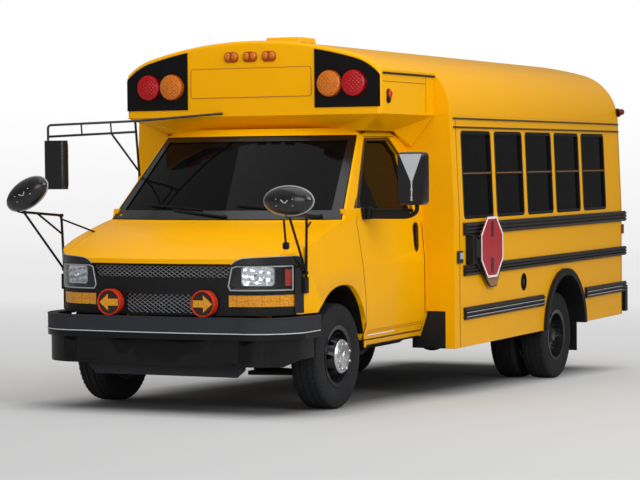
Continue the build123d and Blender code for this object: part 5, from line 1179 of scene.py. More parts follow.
def ovalHead(centre, tilt):
    # Bowl, glass, rim and bolts of an oval mirror: depth d (1 - r^2.4)^0.55 over an ellipse turned by a
    # tilt.
    a, b, d = cross["size"]
    turn = math.radians(tilt)
    u, v = np.array((math.cos(turn), 0, math.sin(turn))), np.array((-math.sin(turn), 0, math.cos(turn)))
    theta = np.linspace(0, 2 * math.pi, 48, endpoint=False)[None, :, None]

    def surface(radii, depth, scale=1.0):
        r = np.asarray(radii)[:, None, None]
        y = depth * np.maximum(1 - r**2.4, 0) ** 0.55 + 0 * theta
        flat = a * scale * r * np.cos(theta) * u + b * scale * r * np.sin(theta) * v
        return np.asarray(centre) + flat + y * np.array((0, 1, 0))

    def onBack(x, z, share):
        return np.asarray(centre) + u * x + v * z - (0, d * share, 0)
    bowl = surface(np.sin(np.linspace(0.02, math.pi / 2, 12)), -d)
    glass = surface(np.sin(np.linspace(0.02, math.pi / 2, 8)), cross["glassDepth"], cross["glassShare"])
    edge = surface([1.0], 0.0)[0]
    bolts = [turned(cross["bolt"], onBack(x, z, cross["boltDepth"]), (0, -1, 0), 10)
             for x, z in cross["bolts"]]
    half, radius = cross["bar"]
    for x, z, lean in cross["bars"]:
        spot, run = onBack(x, z, cross["barDepth"]), (u + v * lean) * half
        bolts.append(tube([spot - run, spot + run], radius, 8))
    return capped(bowl), capped(glass), tube(edge, cross["rim"], 10, True), joinParts(bolts)


crossBody = nodes["crossview_mirrors"]["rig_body"]
crossPieces = []
for side, tag, centre, tilt, elbow, neck, stays in crossSides:
    finishesOf = (("Bowl", "gloss"), ("Glass", "mirror"), ("Rim", "edgeGrey"), ("Bolts", "silver"))
    for part, (name, finish) in zip(ovalHead(centre, tilt), finishesOf):
        crossPieces.append(makeMesh("cross" + name + tag, *part, finish, crossBody))
    foot, shoulder, low = (onSide(cross[key], side) for key in ("foot", "shoulder", "lowEnd"))
    share = cross["braceShare"]
    mid = np.array(elbow) * share + shoulder * (1 - share)
    rods = [tube(rounded([foot, shoulder, elbow, neck], cross["bend"], 6), cross["rod"], 12)]
    rods.append(tube([mid, low], cross["brace"], 10))
    for start, end, radius, steps in stays:
        rods.append(tube([start, end], radius, steps))
    if side > 0:
        rods.insert(3, blob(*cross["pad"], 4, 9, 16))
    clamps = [blob(p, cross["clampSize"], 3.5, 9, 14) for p in (mid, low, shoulder)]
    clamps.append(blob(neck, cross["neckSize"], 3.5, 9, 14))
    crossPieces.append(makeMesh("crossRods" + tag, *joinParts(rods + clamps), "black", crossBody,
                                merge=False))
    across, along, heights = cross["plate"]
    xs = sorted(foot[0] + side * x for x in across)
    corners = list(zip(xs, along, heights))
    crossPieces.append(easedBox("crossPlate" + tag, *corners, "black", crossBody, cross["plateEdge"]))
for obj in crossPieces:
    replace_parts(obj, "crossview_mirrors")
print("mirrors made")

# lamps over the windshield and at the rear
warning = {
    "radius": 0.098, "lensShare": 0.93, "z": 2.308, "red": 0.850, "amber": 0.654, "front": 0.552,
    "rear": 5.772, "depth": 0.045, "dome": 0.012, "facet": 0.0035, "facetPitch": 105, "plainFrom": 0.9,
    "rim": ((0.0, 0.0985), (0.016, 0.0985), (0.024, 0.096), (0.024, 0.0905), (0.012, 0.089)),
    "hood": ((0.104, 0.0), (0.104, 0.012), (0.101, 0.012), (0.101, 0.0)), "hoodArc": (20, 160, 28),
}
clearance = {
    "front": 0.560, "rear": 5.764, "xs": (-0.156, 0.0, 0.156), "z": 2.520, "base": (0.118, 0.078, 0.032),
    "baseSlab": (0.010, 0.003), "domes": (-0.028, 0.028), "domeSpot": (0.012, 0.004),
    "domeSize": (0.05, 0.032, 0.056),
}
tail = {
    "x": 1.0, "y": 5.764, "heights": ((1.010, "red"), (0.800, "amber")),
    "lens": ((0, 0.086), (0.018, 0.085), (0.024, 0.080), (0.028, 0.06), (0.030, 0.0)),
    "ring": ((0, 0.098), (0.012, 0.098), (0.018, 0.093), (0.018, 0.087), (0, 0.0865)),
}
lampPieces = {"red": [], "amber": []}
deepOf = {"red": "deepRed", "amber": "amberDeep"}


def warningLens(x, z, y, outward):
    # A round lens: a shallow dome with diamond facets, f |sin(s (x + z))| |sin(s (x - z))|, inside a
    # plain rim.
    radius, s, dome = warning["radius"] * warning["lensShare"], warning["facetPitch"], warning["dome"]
    r = np.linspace(0.001, 1, 26)[:, None]
    theta = np.linspace(0, 2 * math.pi, 72, endpoint=False)[None]
    u, v = radius * r * np.cos(theta), radius * r * np.sin(theta)
    facets = warning["facet"] * np.abs(np.sin(s * (u + v))) * np.abs(np.sin(s * (u - v)))
    lift = warning["depth"] - dome + dome * (1 - r**2) + facets * (r < warning["plainFrom"])
    grid = np.stack([x + u, y + outward * lift, z + v], -1)
    back = np.stack([x + u[-1:], y + outward * (dome + 0 * u[-1:]), z + v[-1:]], -1)
    return capped(np.concatenate([grid, back]))


for where, outward in (("front", -1), ("rear", 1)):
    y, z = warning[where], warning["z"]
    for side, hand in bothSides:
        for color in ("red", "amber"):
            x, tag = side * warning[color], where.title() + hand + color.title()
            lens = makeMesh("warning" + tag, *warningLens(x, z, y, outward), color, sharp=18.0)
            rim = turned(warning["rim"], (x, y, z), (0, outward, 0), 56)
            lampPieces[color] += [lens, makeMesh("warningRim" + tag, *rim, deepOf[color])]
            # the shallow hood over each lamp
            start, end, count = warning["hoodArc"]
            grid = np.array([[(x + q * math.cos(t), y + outward * d, z + q * math.sin(t))
                              for q, d in warning["hood"]]
                             for t in np.linspace(math.radians(start), math.radians(end), count)])
            makeMesh("warningHood" + tag, *capped(grid), "black")
# clearance lamps on the crown, three in front and three behind
for where, outward, color in (("front", -1, "amber"), ("rear", 1, "red")):
    y, z = clearance[where], clearance["z"]
    out, up = clearance["domeSpot"]
    for n, x in enumerate(clearance["xs"]):
        base = slab(roundRect(*clearance["base"], 6), (x, y, z), (-outward, 0, 0), (0, 0, 1),
                    *clearance["baseSlab"])
        tag = where.title() + str(n)
        lampPieces[color].append(makeMesh("clearBase" + tag, *base, deepOf[color]))
        for letter, k in zip("ab", clearance["domes"]):
            dome = blob((x + k, y + outward * out, z + up), clearance["domeSize"], 2.3, 13, 22)
            lampPieces[color].append(makeMesh("clearDome" + tag + letter, *dome, color))
for z, color in tail["heights"]:
    for side, hand in bothSides:
        spot, tag = (side * tail["x"], tail["y"], z), color.title() + hand
        lens = turned(tail["lens"], spot, (0, 1, 0), 48)
        lampPieces[color].append(makeMesh("tail" + tag, *lens, color))
        makeMesh("tailRing" + tag, *turned(tail["ring"], spot, (0, 1, 0), 48), "trim")
for color, group in lampPieces.items():
    for obj in group:
        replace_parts(obj, color + "_lamps")

# cap: sign board, rivets, seams, side markers
cap = {
    "front": 0.560, "half": 1.055, "board": (0.0, 2.330, 0.996, 0.214), "boardSlab": (0.003, 0.001),
    "boardCorner": (0.02, 0.023, 0.018), "boardEdge": (0.006, -0.004), "edgeSlab": (0.0042, 0.001),
    "rivets": (-0.93, 0.93, 11), "rivetZ": 2.104, "rivet": (0.0055, 0.003),
    "seamEnds": {"Left": 1.395, "Right": 0.81}, "seamStart": 0.600, "seamZ": 2.318, "joint": (2.10, 2.365),
    "seamRadii": (0.0022, 0.002),
    "marker": (0.688, 2.212), "markerBase": (0.062, 0.104, 0.028), "markerSlab": (0.012, 0.004),
    "markerLens": (0.014, 0.688, 2.226), "markerSize": (0.036, 0.050, 0.058),
    "rearMarker": (1.190, 5.690, 2.170), "rearLens": (1.218, 5.690, 2.175), "rearSize": (0.062, 0.058, 0.058),
    "rearBase": ((-0.02, 0.04), (0.008, 0.04), (0.012, 0.034), (0.012, 0)), "rearLean": 0.2,
}


def signPlates(names, spot, width, height, u):
    # A board and the taped edge round it, on the plane of u and the upright.
    inner, outer, hole = cap["boardCorner"]
    grow, shrink = cap["boardEdge"]
    plate = slab(roundRect(width, height, inner, 6), spot, u, (0, 0, 1), *cap["boardSlab"])
    makeMesh(names[0], *plate, "yellow")
    edge = frameRing(roundRect(width + grow, height + grow, outer, 6),
                     roundRect(width + shrink, height + shrink, hole, 6), spot, u, (0, 0, 1),
                     *cap["edgeSlab"])
    makeMesh(names[1], *edge, "tape")


x, z, width, height = cap["board"]
signPlates(("signBoard", "signEdge"), (x, cap["front"], z), width, height, (1, 0, 0))
rivets = [(x, cap["front"], cap["rivetZ"]) for x in np.linspace(*cap["rivets"])]
makeMesh("capRivets", *studs(rivets, (0, -1, 0), *cap["rivet"]), "yellow")
for side, tag in bothSides:
    x, end, (low, high) = side * cap["half"], cap["seamEnds"][tag], cap["joint"]
    long, short = cap["seamRadii"]
    lines = [tube([(x, cap["seamStart"], cap["seamZ"]), (x, end, cap["seamZ"])], long, 6),
             tube([(x, end, low), (x, end, high)], short, 6)]
    makeMesh("capSeams" + tag, *joinParts(lines), "seam")
    base = slab(roundRect(*cap["markerBase"], 6), (x, *cap["marker"]), (0, side, 0), (0, 0, 1),
                *cap["markerSlab"])
    makeMesh("markerBase" + tag, *base, "black")
    out, y, z = cap["markerLens"]
    makeMesh("markerLens" + tag, *blob((x + side * out, y, z), cap["markerSize"], 2.3, 13, 22), "redOrange")
    base = turned(cap["rearBase"], onSide(cap["rearMarker"], side), (side, 0, cap["rearLean"]), 28)
    makeMesh("rearMarkerBase" + tag, *base, "black")
    lens = blob(onSide(cap["rearLens"], side), cap["rearSize"], 2.2, 13, 22)
    makeMesh("rearMarkerLens" + tag, *lens, "deepRed")
print("lamps and cap made")

# wheel-arch liners, shut lines, seams and small fittings on the sides
sides = {
    "arch": ((-0.425, 0.380), (-0.405, 0.640), (-0.253, 0.797), (-0.060, 0.866), (0.070, 0.872),
             (0.199, 0.853), (0.352, 0.726), (0.437, 0.500), (0.440, 0.380)),
    "archBend": 0.09, "liner": ((0.62, 0.006), (0.62, 0.002), (0.958, 0.002), (0.958, 0.006)),
    "rearArch": (4.064, 0.278, 0.4715), "rearSweep": (4, 176, 56),
    "rearLiner": ((0.80, 0.006), (0.80, 0.001), (1.238, 0.001), (1.238, 0.006)),
    "section": ((0.400, 0.560, 0.980, 1.343), (0.930, 0.985, 0.985, 0.955)), "belt": 1.343,
    "doorEdge": ((0.4235, 0.450), (0.4235, 0.743), (0.3275, 1.307), (0.345, 1.343)),
    "doorRear": ((1.522, 1.780), (1.522, 0.448)), "doorSill": ((0.425, 0.4465), (1.520, 0.4465)),
    "shutLine": (-0.001, 0.0032),
    # the rocker's painted highlight line: its ends (y, z), then its lift and radius
    "moulding": ((0.50, 0.482), (0.98, 0.482)), "mouldingBead": (0.0008, 0.004),
    "crease": (0.520, 0.505), "creaseStart": 0.47, "creaseBead": (0.0005, 0.003),
    "sillEnds": {"Left": 1.50, "Right": 0.93}, "strip": (0.934, 0.455, 0.402), "stripRadius": 0.007,
    "seamStarts": {"Left": 1.652, "Right": 1.10}, "seamEnd": 5.672, "seamHeights": (0.315, 2.05, 20),
    "seamBead": (0.0006, 0.0022), "rivetsY": {"Left": (1.690, 5.640), "Right": (5.640,)},
    "rivetHeights": (1.33, 2.0, 0.075), "rivet": (0.005, 0.0025), "rivetLean": 0.04,
    "reflector": (0.060, 0.088, 0.006), "reflectorSpot": (1.219, 5.710, 1.095),
    "windows": (2.0700, 2.7826, 3.4952, 4.2078, 4.9204), "firstWindow": {"Left": 0, "Right": 1},
    "sash": 1.640, "sashHalf": 0.292, "sashBead": (-0.0010, 0.0035),
    # painted highlights along the lower rail: their heights, the rail's runs, their x and radius
    "gleams": (0.540, 0.572), "lowRail": ((1.74, 3.50), (4.63, 5.62)),
    "gleamX": 1.2448, "gleamRadius": 0.0026,
    "stepLamp": ((1.2185, 1.590, 0.955), (1.236, 1.690, 1.050)), "stepLens": (1.236, 1.650, 1.012),
    "stepLensSize": (0.052, 0.050, 0.008),
}


def cabLowerX(z):
    # The cab's side at a height: its section up to the belt, then the lean of the glass.
    z = np.asarray(z, float)
    return np.where(z > sides["belt"], cabSideX(z), np.interp(z, *sides["section"]))


def alongCab(points, lift, side=1):
    # Side-view points (y, z) joined over the cab's side, lifted off it.
    p = alongEdges(points, 10, False)
    return np.stack([side * (cabLowerX(p[:, 1]) + lift), p[:, 0], p[:, 1]], -1)


def onWall(y, z, side, lift):
    # A line over the body's side, lifted off it.
    return np.stack([side * (wallX(z) + lift), y + 0 * z, z + 0 * y], -1)


archLine = rounded([(0, y, z) for y, z in sides["arch"]], sides["archBend"], 6)[:, 1:]
archNormal = outwards(archLine)
for side, tag in bothSides:
    rings = []
    for x, inset in sides["liner"]:
        p = archLine + archNormal * inset
        rings.append(np.column_stack([np.full(len(p), side * x), p]))
    makeMesh("archLiner" + tag, *capped(np.array(rings).transpose(1, 0, 2)), "trim")
    start, end, count = sides["rearSweep"]
    y0, z0, r = sides["rearArch"]
    rings = [[(side * x, y0 + (r - inset) * math.cos(t), z0 + (r - inset) * math.sin(t))
              for x, inset in sides["rearLiner"]]
             for t in np.linspace(math.radians(start), math.radians(end), count)]
    makeMesh("rearArchLiner" + tag, *capped(np.array(rings)), "trim")
    # pressed crease along the rocker, its beads in darker yellow as painted shade, and the black strip under
    # the sill
    end, (lift, radius) = sides["sillEnds"][tag], sides["creaseBead"]
    sill = []
    for z in sides["crease"]:
        x = side * (cabLowerX(z) + lift)
        sill.append(tube([(x, sides["creaseStart"], z), (x, end, z)], radius, 6))
    makeMesh("rockerCrease" + tag, *joinParts(sill), "yellowShade", "driver_door" if side > 0 else "root")
    # the black strip under the sill: partly a real bottom edge, partly the rocker's shadow painted in black
    x, y, z = sides["strip"]
    strip = tube([(side * x, y, z), (side * x, end, z)], sides["stripRadius"], 8)
    makeMesh("sillStrip" + tag, *strip, "trim")
    # seams, rivets, reflector and sashes of the body's side, and painted highlight lines along the lower rail
    lift, radius = sides["seamBead"]
    heights = np.linspace(*sides["seamHeights"])
    seams = [tube(onWall(y, heights, side, lift), radius, 6)
             for y in (sides["seamStarts"][tag], sides["seamEnd"])]
    makeMesh("bodySeams" + tag, *joinParts(seams), "seam")
    heads = [(side * wallX(z), y, z)
             for y in sides["rivetsY"][tag] for z in np.arange(*sides["rivetHeights"])]
    makeMesh("bodyRivets" + tag, *studs(heads, (side, 0, sides["rivetLean"]), *sides["rivet"]), "yellow")
    plate = slab(roundRect(*sides["reflector"], 4), onSide(sides["reflectorSpot"], side), (0, side, 0),
                 (0, 0, 1), 0.006, 0.002)
    makeMesh("sideReflector" + tag, *plate, "deepRed")
    lift, radius = sides["sashBead"]
    for n, y in list(enumerate(sides["windows"]))[sides["firstWindow"][tag]:]:
        ys = np.linspace(y - sides["sashHalf"], y + sides["sashHalf"], 5)
        line = onWall(ys, np.full(5, sides["sash"]), side, lift)
        makeMesh("sashLine%s%d" % (tag, n), *tube(line, radius, 6), "tape")
    # painted highlight: light lines along the lower rail's ribs
    x = side * sides["gleamX"]
    gleams = [tube([(x, y0, z), (x, y1, z)], sides["gleamRadius"], 6)
              for z in sides["gleams"] for y0, y1 in sides["lowRail"]]
    makeMesh("railGleams" + tag, *joinParts(gleams), "edgeBright", merge=False)
lift, radius = sides["shutLine"]
for tag in ("Edge", "Rear", "Sill"):
    name = "shutLine" + ("Front" if tag == "Edge" else tag)
    makeMesh(name, *tube(alongCab(sides["door" + tag], lift), radius, 6), "frit")
# painted highlight: a white line along the rocker in place of the crease's reflection
lift, radius = sides["mouldingBead"]
makeMesh("rockerMoulding", *tube(alongCab(sides["moulding"], lift), radius, 8), "signWhite", "driver_door")
easedBox("stepLampBody", *sides["stepLamp"], "gloss", "root", 0.006)
lens = slab(roundRect(*sides["stepLensSize"], 4), sides["stepLens"], (0, 1, 0), (0, 0, 1), 0.004, 0.001)
makeMesh("stepLampLens", *lens, "wedgeGrey")
print("side fittings made")

# stop sign: octagon with border and lamp slots on both faces, housing ribs, and a tan sheet on the body's
# side below it as painted shadow
stop = {
    "y": 2.205, "z": 1.060, "half": 0.239, "faces": (("Outer", 1.275, 1), ("Inner", 1.267, -1)),
    "margin": 0.001, "border": 0.017, "borderSlab": (0.0012, 0.0004), "armEnd": 1.968,
    "slots": (0.142, -0.142), "slot": (0.052, 0.128, 0.024), "slotSlab": (0.003, 0.001),
    "bulbs": (-0.036, 0, 0.036), "bulbOut": 0.003, "bulbSize": (0.006, 0.022, 0.022),
    "ribs": (1.800, 1.842, 1.884, 1.926), "rib": ((1.2485, 1.2525), 0.014, (0.965, 1.138)),
    "bolts": (1.249, (1.787, 1.990), (0.955, 1.148)), "bolt": (0.006, 0.004),
    # outline (y, z) of the painted shadow below the arm, then its place and its thickness
    "guard": ((2.098, 0.842), (2.209, 0.752), (2.343, 0.752), (2.405, 0.842), (2.405, 0.893),
              (2.142, 0.960)),
    "guardSpot": (1.2548, 2.2, 0.85), "guardSlab": (0.0016, 0.0006),
}


def octagon(half):
    # Corners of an upright octagon whose flat sides are at that distance from the middle.
    a = math.radians(22.5) + np.arange(8) * math.pi / 4
    return np.stack([np.cos(a), np.sin(a)], -1) * half / math.cos(math.radians(22.5))


sign = dressed("stop_sign", "signRed", 0.0008)
bm = bmesh.new()
bm.from_mesh(sign.data)
along = Vector(toRow((0, 1, 0)) - toRow((0, 0, 0)))
bmesh.ops.bisect_plane(bm, geom=bm.verts[:] + bm.edges[:] + bm.faces[:],
                       plane_co=Vector(toRow((0, stop["armEnd"], stop["z"]))), plane_no=along)
bm.to_mesh(sign.data)
bm.free()
sign.data.materials.append(finishes["black"])
for face in sign.data.polygons:
    if fromRow(np.array(face.center))[1] < stop["armEnd"]:
        face.material_index = 1
for tag, x, out in stop["faces"]:
    y, z, edge = stop["y"], stop["z"], stop["half"] - stop["margin"]
    directions = ((0, out, 0), (0, 0, 1))
    outer, inner = (alongEdges(octagon(half), 3) for half in (edge, edge - stop["border"]))
    ring = frameRing(outer, inner, (x, y, z), *directions, *stop["borderSlab"])
    makeMesh("stopBorder" + tag, *ring, "signWhite", "stop_arm")
    for k, rise in enumerate(stop["slots"]):
        slot = slab(roundRect(*stop["slot"], 6), (x, y, z + rise), *directions, *stop["slotSlab"])
        makeMesh("stopSlot%s%d" % (tag, k), *slot, "gloss", "stop_arm")
        bulbs = [blob((x + out * stop["bulbOut"], y, z + rise + dz), stop["bulbSize"], 2.2, 9, 14)
                 for dz in stop["bulbs"]]
        makeMesh("stopBulbs%s%d" % (tag, k), *joinParts(bulbs), "deepRed", "stop_arm")
(x0, x1), width, (z0, z1) = stop["rib"]
ribs = [bar((x0, y, z0), (x1, y + width, z1)) for y in stop["ribs"]]
makeMesh("stopHousingRibs", *joinParts(ribs), "gloss")
x, ys, zs = stop["bolts"]
bolts = studs([(x, y, z) for y in ys for z in zs], (1, 0, 0), *stop["bolt"])
makeMesh("stopHousingBolts", *bolts, "silver")
# painted shadow: a thin tan sheet on the body's side where the arm's shadow falls; it stays on the body
guard = np.array(stop["guard"]) - stop["guardSpot"][1:]
guard = slab(guard, stop["guardSpot"], (0, 1, 0), (0, 0, 1), *stop["guardSlab"])
makeMesh("windGuardFace", *guard, "tan")
print("stop sign made")

# seats: crowned cushions and backs on their frames, their y measured from the row's
seating = {
    "rows": {"Left": [2.250 + 0.7 * n for n in range(5)], "Right": [2.460 + 0.7 * n for n in range(4)]},
    "x": 0.709, "width": 0.872, "cushion": ((-0.42, 1.060), (-0.065, 1.150)),
    "back": ((-0.060, 1.085), (0.045, 1.640)), "backLean": 0.040,
    "legInset": 0.05, "legs": (-0.37, 0.01), "legHeights": (0.735, 1.075), "rail": ((-0.37, 0.03), 1.062),
    "frameRadius": 0.013,
}
# the driver's seat: name, two corners, pinch, crown, lean
driverSeat = (
    ("driverCushion", (0.235, 0.765, 0.950), (0.725, 1.215, 1.038), 0.06, 0.012, 0.0),
    ("driverBack", (0.235, 1.228, 0.985), (0.725, 1.312, 1.420), 0.06, 0.012, 0.052),
    ("driverHeadrest", (0.355, 1.285, 1.445), (0.605, 1.365, 1.632), 0.05, 0.01, 0.015),
)
driverFrame = {
    "posts": (0.42, 0.54), "post": ((1.315, 1.39), (1.335, 1.47)), "postRadius": 0.006,
    "pedestal": ((0.300, 0.820, 0.600), (0.660, 1.220, 0.952)),
}


def crowned(name, low, high, pinch=0.035, crown=0.014, lean=0.0):
    # A stuffed form between two corners: a superellipsoid whose coordinate a shrinks by the share
    # pinch (1 - b^2) a^6, b being its next coordinate, and whose broad faces are crowned; lean moves it
    # back with height.
    low, high = np.asarray(low, float), np.asarray(high, float)
    v, faces = blob((0, 0, 0), (2, 2, 2), 7.0, 25, 48)
    v = v * (1 - pinch * (1 - np.abs(v[:, [1, 2, 0]]) ** 2) * np.abs(v) ** 6)
    half = (high - low) / 2
    thin = int(np.argmin(half))
    across = [i for i in range(3) if i != thin]
    dome = np.prod(1 - v[:, across] ** 2, axis=1)
    v = v * (half - np.eye(3)[thin] * crown)
    v[:, thin] += np.sign(v[:, thin]) * crown * np.clip(dome, 0, 1)
    v = v + (low + high) / 2
    v[:, 1] += lean * (v[:, 2] - low[2]) / max(high[2] - low[2], 1e-6)
    obj = makeMesh(name, v, faces, "vinyl")
    return obj


seatPieces, frameParts = [], []
for side, hand in bothSides:
    for n, y in enumerate(seating["rows"][hand]):
        x0, x1 = (side * seating["x"] + k * seating["width"] / 2 for k in (-1, 1))
        for name, lean in (("cushion", 0.0), ("back", seating["backLean"])):
            (y0, z0), (y1, z1) = seating[name]
            seatPieces.append(crowned("bench%s%s%d" % (name.title(), hand, n), (x0, y + y0, z0),
                                      (x1, y + y1, z1), lean=lean))
        inset, radius, (low, high) = seating["legInset"], seating["frameRadius"], seating["legHeights"]
        (start, end), height = seating["rail"]
        for x in (x0 + inset, x1 - inset):
            for leg in seating["legs"]:
                frameParts.append(tube([(x, y + leg, low), (x, y + leg, high)], radius, 8))
            frameParts.append(tube([(x, y + start, height), (x, y + end, height)], radius, 8))
seatPieces.append(makeMesh("benchFrames", *joinParts(frameParts), "chassis", merge=False))
for piece in driverSeat:
    seatPieces.append(crowned(*piece))
posts = [tube([(x, y, z) for y, z in driverFrame["post"]], driverFrame["postRadius"], 8)
         for x in driverFrame["posts"]]
seatPieces.append(makeMesh("driverHeadrestPosts", *joinParts(posts), "rimSteel"))
seatPieces.append(easedBox("driverPedestal", *driverFrame["pedestal"], "chassis", "root", 0.01))
for obj in seatPieces:
    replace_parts(obj, "seats")

# steering wheel: rim, three spokes and hub
steering = {
    "hub": (0.480, 0.600, 1.230), "tilt": 35, "sink": 0.004, "radius": 0.177, "rim": 0.0125,
    "spokes": (0.0, math.pi, 1.5 * math.pi), "spoke": (0.03, 0.17), "spokeRadii": (0.014, 0.009),
    "boss": ((-0.016, 0.05), (-0.016, 0.062), (0.004, 0.066), (0.012, 0.058), (0.016, 0.03), (0.017, 0)),
}
hub, tilt = np.array(steering["hub"]), math.radians(steering["tilt"])
lean = np.array((0, math.cos(tilt), math.sin(tilt)))
u, v = basis(lean)
middle = hub - lean * steering["sink"]
angle = np.linspace(0, 2 * math.pi, 64, endpoint=False)[:, None]
rim = middle + steering["radius"] * (np.cos(angle) * u + np.sin(angle) * v)
parts = [tube(rim, steering["rim"], 12, True)]
for a in steering["spokes"]:
    out = math.cos(a) * u + math.sin(a) * v
    parts.append(tube([middle + out * r for r in steering["spoke"]], steering["spokeRadii"], 10))
parts.append(turned(steering["boss"], hub, lean, 32))
wheelBody = nodes["steering_wheel"]["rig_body"]
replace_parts(makeMesh("steeringWheelRim", *joinParts(parts), "plastic", wheelBody, merge=False),
            "steering_wheel")
dressed("dashboard", "plastic", 0.008)
print("seats and steering wheel made")

# rear: gaskets, door seams, hinges, handle, blank plate
rear = {
    "y": 5.764, "panes": ((-0.77, 1.64, 0.50, 0.56, "root"), (0.77, 1.64, 0.50, 0.56, "root"),
                          (0, 1.64, 0.50, 0.56, "emergency_door"), (0, 1.02, 0.50, 0.26, "emergency_door")),
    "gasketOuter": (0.03, 0.045), "gasketInner": (-0.012, 0.03), "gasketSlab": (0.006, 0.002),
    "seam": ((0.345, 0.70), (0.345, 2.0), (-0.345, 2.0), (-0.345, 0.70)), "seamBend": 0.03,
    "seamRadius": 0.0032,
    "hingeHeights": (0.86, 1.35, 1.84), "leaf": ((0.006, 0.060), (5.763, 5.769), 0.055),
    "pin": (0.004, 5.768, 0.06), "pinRadius": 0.007, "bolts": ((0.022, 0.046), 5.769, (-0.035, 0.035)),
    "bolt": (0.005, 0.003),
    "grip": ((0.215, 5.778, 1.258), (0.215, 5.802, 1.258), (0.305, 5.802, 1.258), (0.305, 5.778, 1.258)),
    "gripBend": 0.02, "gripRadius": 0.007,
    "plate": (-0.62, 0.62), "plateSize": (0.305, 0.152, 0.012), "plateSlab": (0.002, 0.0006),
    "frameOuter": (0.325, 0.172, 0.016), "frameInner": (0.297, 0.144, 0.01), "frameSlab": (0.004, 0.001),
    "board": (0, 2.300, 0.996, 0.20),
}
doorJoint = next(j for j in frame["joints"] if j["name"] == "emergency_door_hinge")
hingeX = doorJoint["pos_m"][0]
facing = ((-1, 0, 0), (0, 0, 1))
for n, (x, z, width, height, body) in enumerate(rear["panes"]):
    outer, inner = (roundRect(width + grow, height + grow, corner, 7)
                    for grow, corner in (rear["gasketOuter"], rear["gasketInner"]))
    ring = frameRing(outer, inner, (x, rear["y"], z), *facing, *rear["gasketSlab"])
    makeMesh("rearGasket%d" % n, *ring, "trim", body)
lines = rounded([(x, rear["y"], z) for x, z in rear["seam"]], rear["seamBend"], 5)
makeMesh("rearDoorSeam", *tube(lines, rear["seamRadius"], 6), "frit")
leaves, pins = [], []
way = math.copysign(1, hingeX)
(near, far), (y0, y1), half = rear["leaf"]
pinX, pinY, pinHalf = rear["pin"]
for z in rear["hingeHeights"]:
    leaves.append(bar((hingeX + way * near, y0, z - half), (hingeX + way * far, y1, z + half)))
    ends = [(hingeX + way * pinX, pinY, z + k) for k in (-pinHalf, pinHalf)]
    pins.append(tube(ends, rear["pinRadius"], 12))
makeMesh("rearHinges", *joinParts(leaves + pins), "black", merge=False)
across, boltY, rises = rear["bolts"]
bolts = [(hingeX + way * k, boltY, z + dz) for z in rear["hingeHeights"] for k in across for dz in rises]
makeMesh("rearHingeBolts", *studs(bolts, (0, 1, 0), *rear["bolt"]), "rimSteel")
grip = tube(rounded(rear["grip"], rear["gripBend"], 5), rear["gripRadius"], 10)
makeMesh("rearDoorGrip", *grip, "rimSteel", "emergency_door")
spot = (rear["plate"][0], rear["y"], rear["plate"][1])
plate = slab(roundRect(*rear["plateSize"], 5), spot, *facing, *rear["plateSlab"])
makeMesh("plateBlank", *plate, "signWhite")
outer, inner = (roundRect(*rear[key], 5) for key in ("frameOuter", "frameInner"))
makeMesh("plateFrame", *frameRing(outer, inner, spot, *facing, *rear["frameSlab"]), "trim")
x, z, width, height = rear["board"]
signPlates(("rearBoard", "rearBoardEdge"), (x, rear["y"], z), width, height, (-1, 0, 0))
print("rear fittings made")

# studio: pale floor with a painted shadow under the bus, soft light, camera
studio = {
    # shade: the share of the grey left in the painted shadow under the bus
    "floorHalf": 300.0, "grey": 0.50, "shade": 0.35, "glowFrom": (7.6, -16.7),
    # stops of the floor's glow: share of the floor's half, strength
    "glow": ((0.0, 0.0), (0.040, 0.0), (0.055, 0.09), (0.073, 0.225), (0.139, 0.48), (0.25, 0.51),
             # soft edges of the painted shadow: half widths and half lengths where it is full and where it
             # ends
             (0.57, 0.54), (1.0, 0.56)),
    "underHalf": (0.75, 1.30), "underLength": (3.0, 3.7),
    # the world: strength of the fill, and the greys by height of the sky and of what reflections see
    "fill": 0.62, "skyStops": ((0.0, 0.88), (0.055, 1.0)), "mirroredStops": ((0.0, 0.12), (0.9, 0.5)),
}
# soft lamps: name, place, target, width and length, watts
lamps = (
    ("topSoft", (1.5, -2.0, 9.0), (0, 0, 0), (9, 12), 350),
    ("keySoft", (10.0, -6.0, 6.0), (0, 0, 1.2), (6, 5), 560),
    ("frontSoft", (3.0, -13.0, 3.2), (0, -2, 1.2), (6, 4), 240),
)
camera = {
    "spot": (7.579, -14.305, 1.229),      # level metres, y from the front axle
    "yaw": 0.44198, "pitch": 0.00262, "roll": 0.00572,
    "focalPixels": 2243.8, "framePixels": 640, "sensor": 36.0,
}


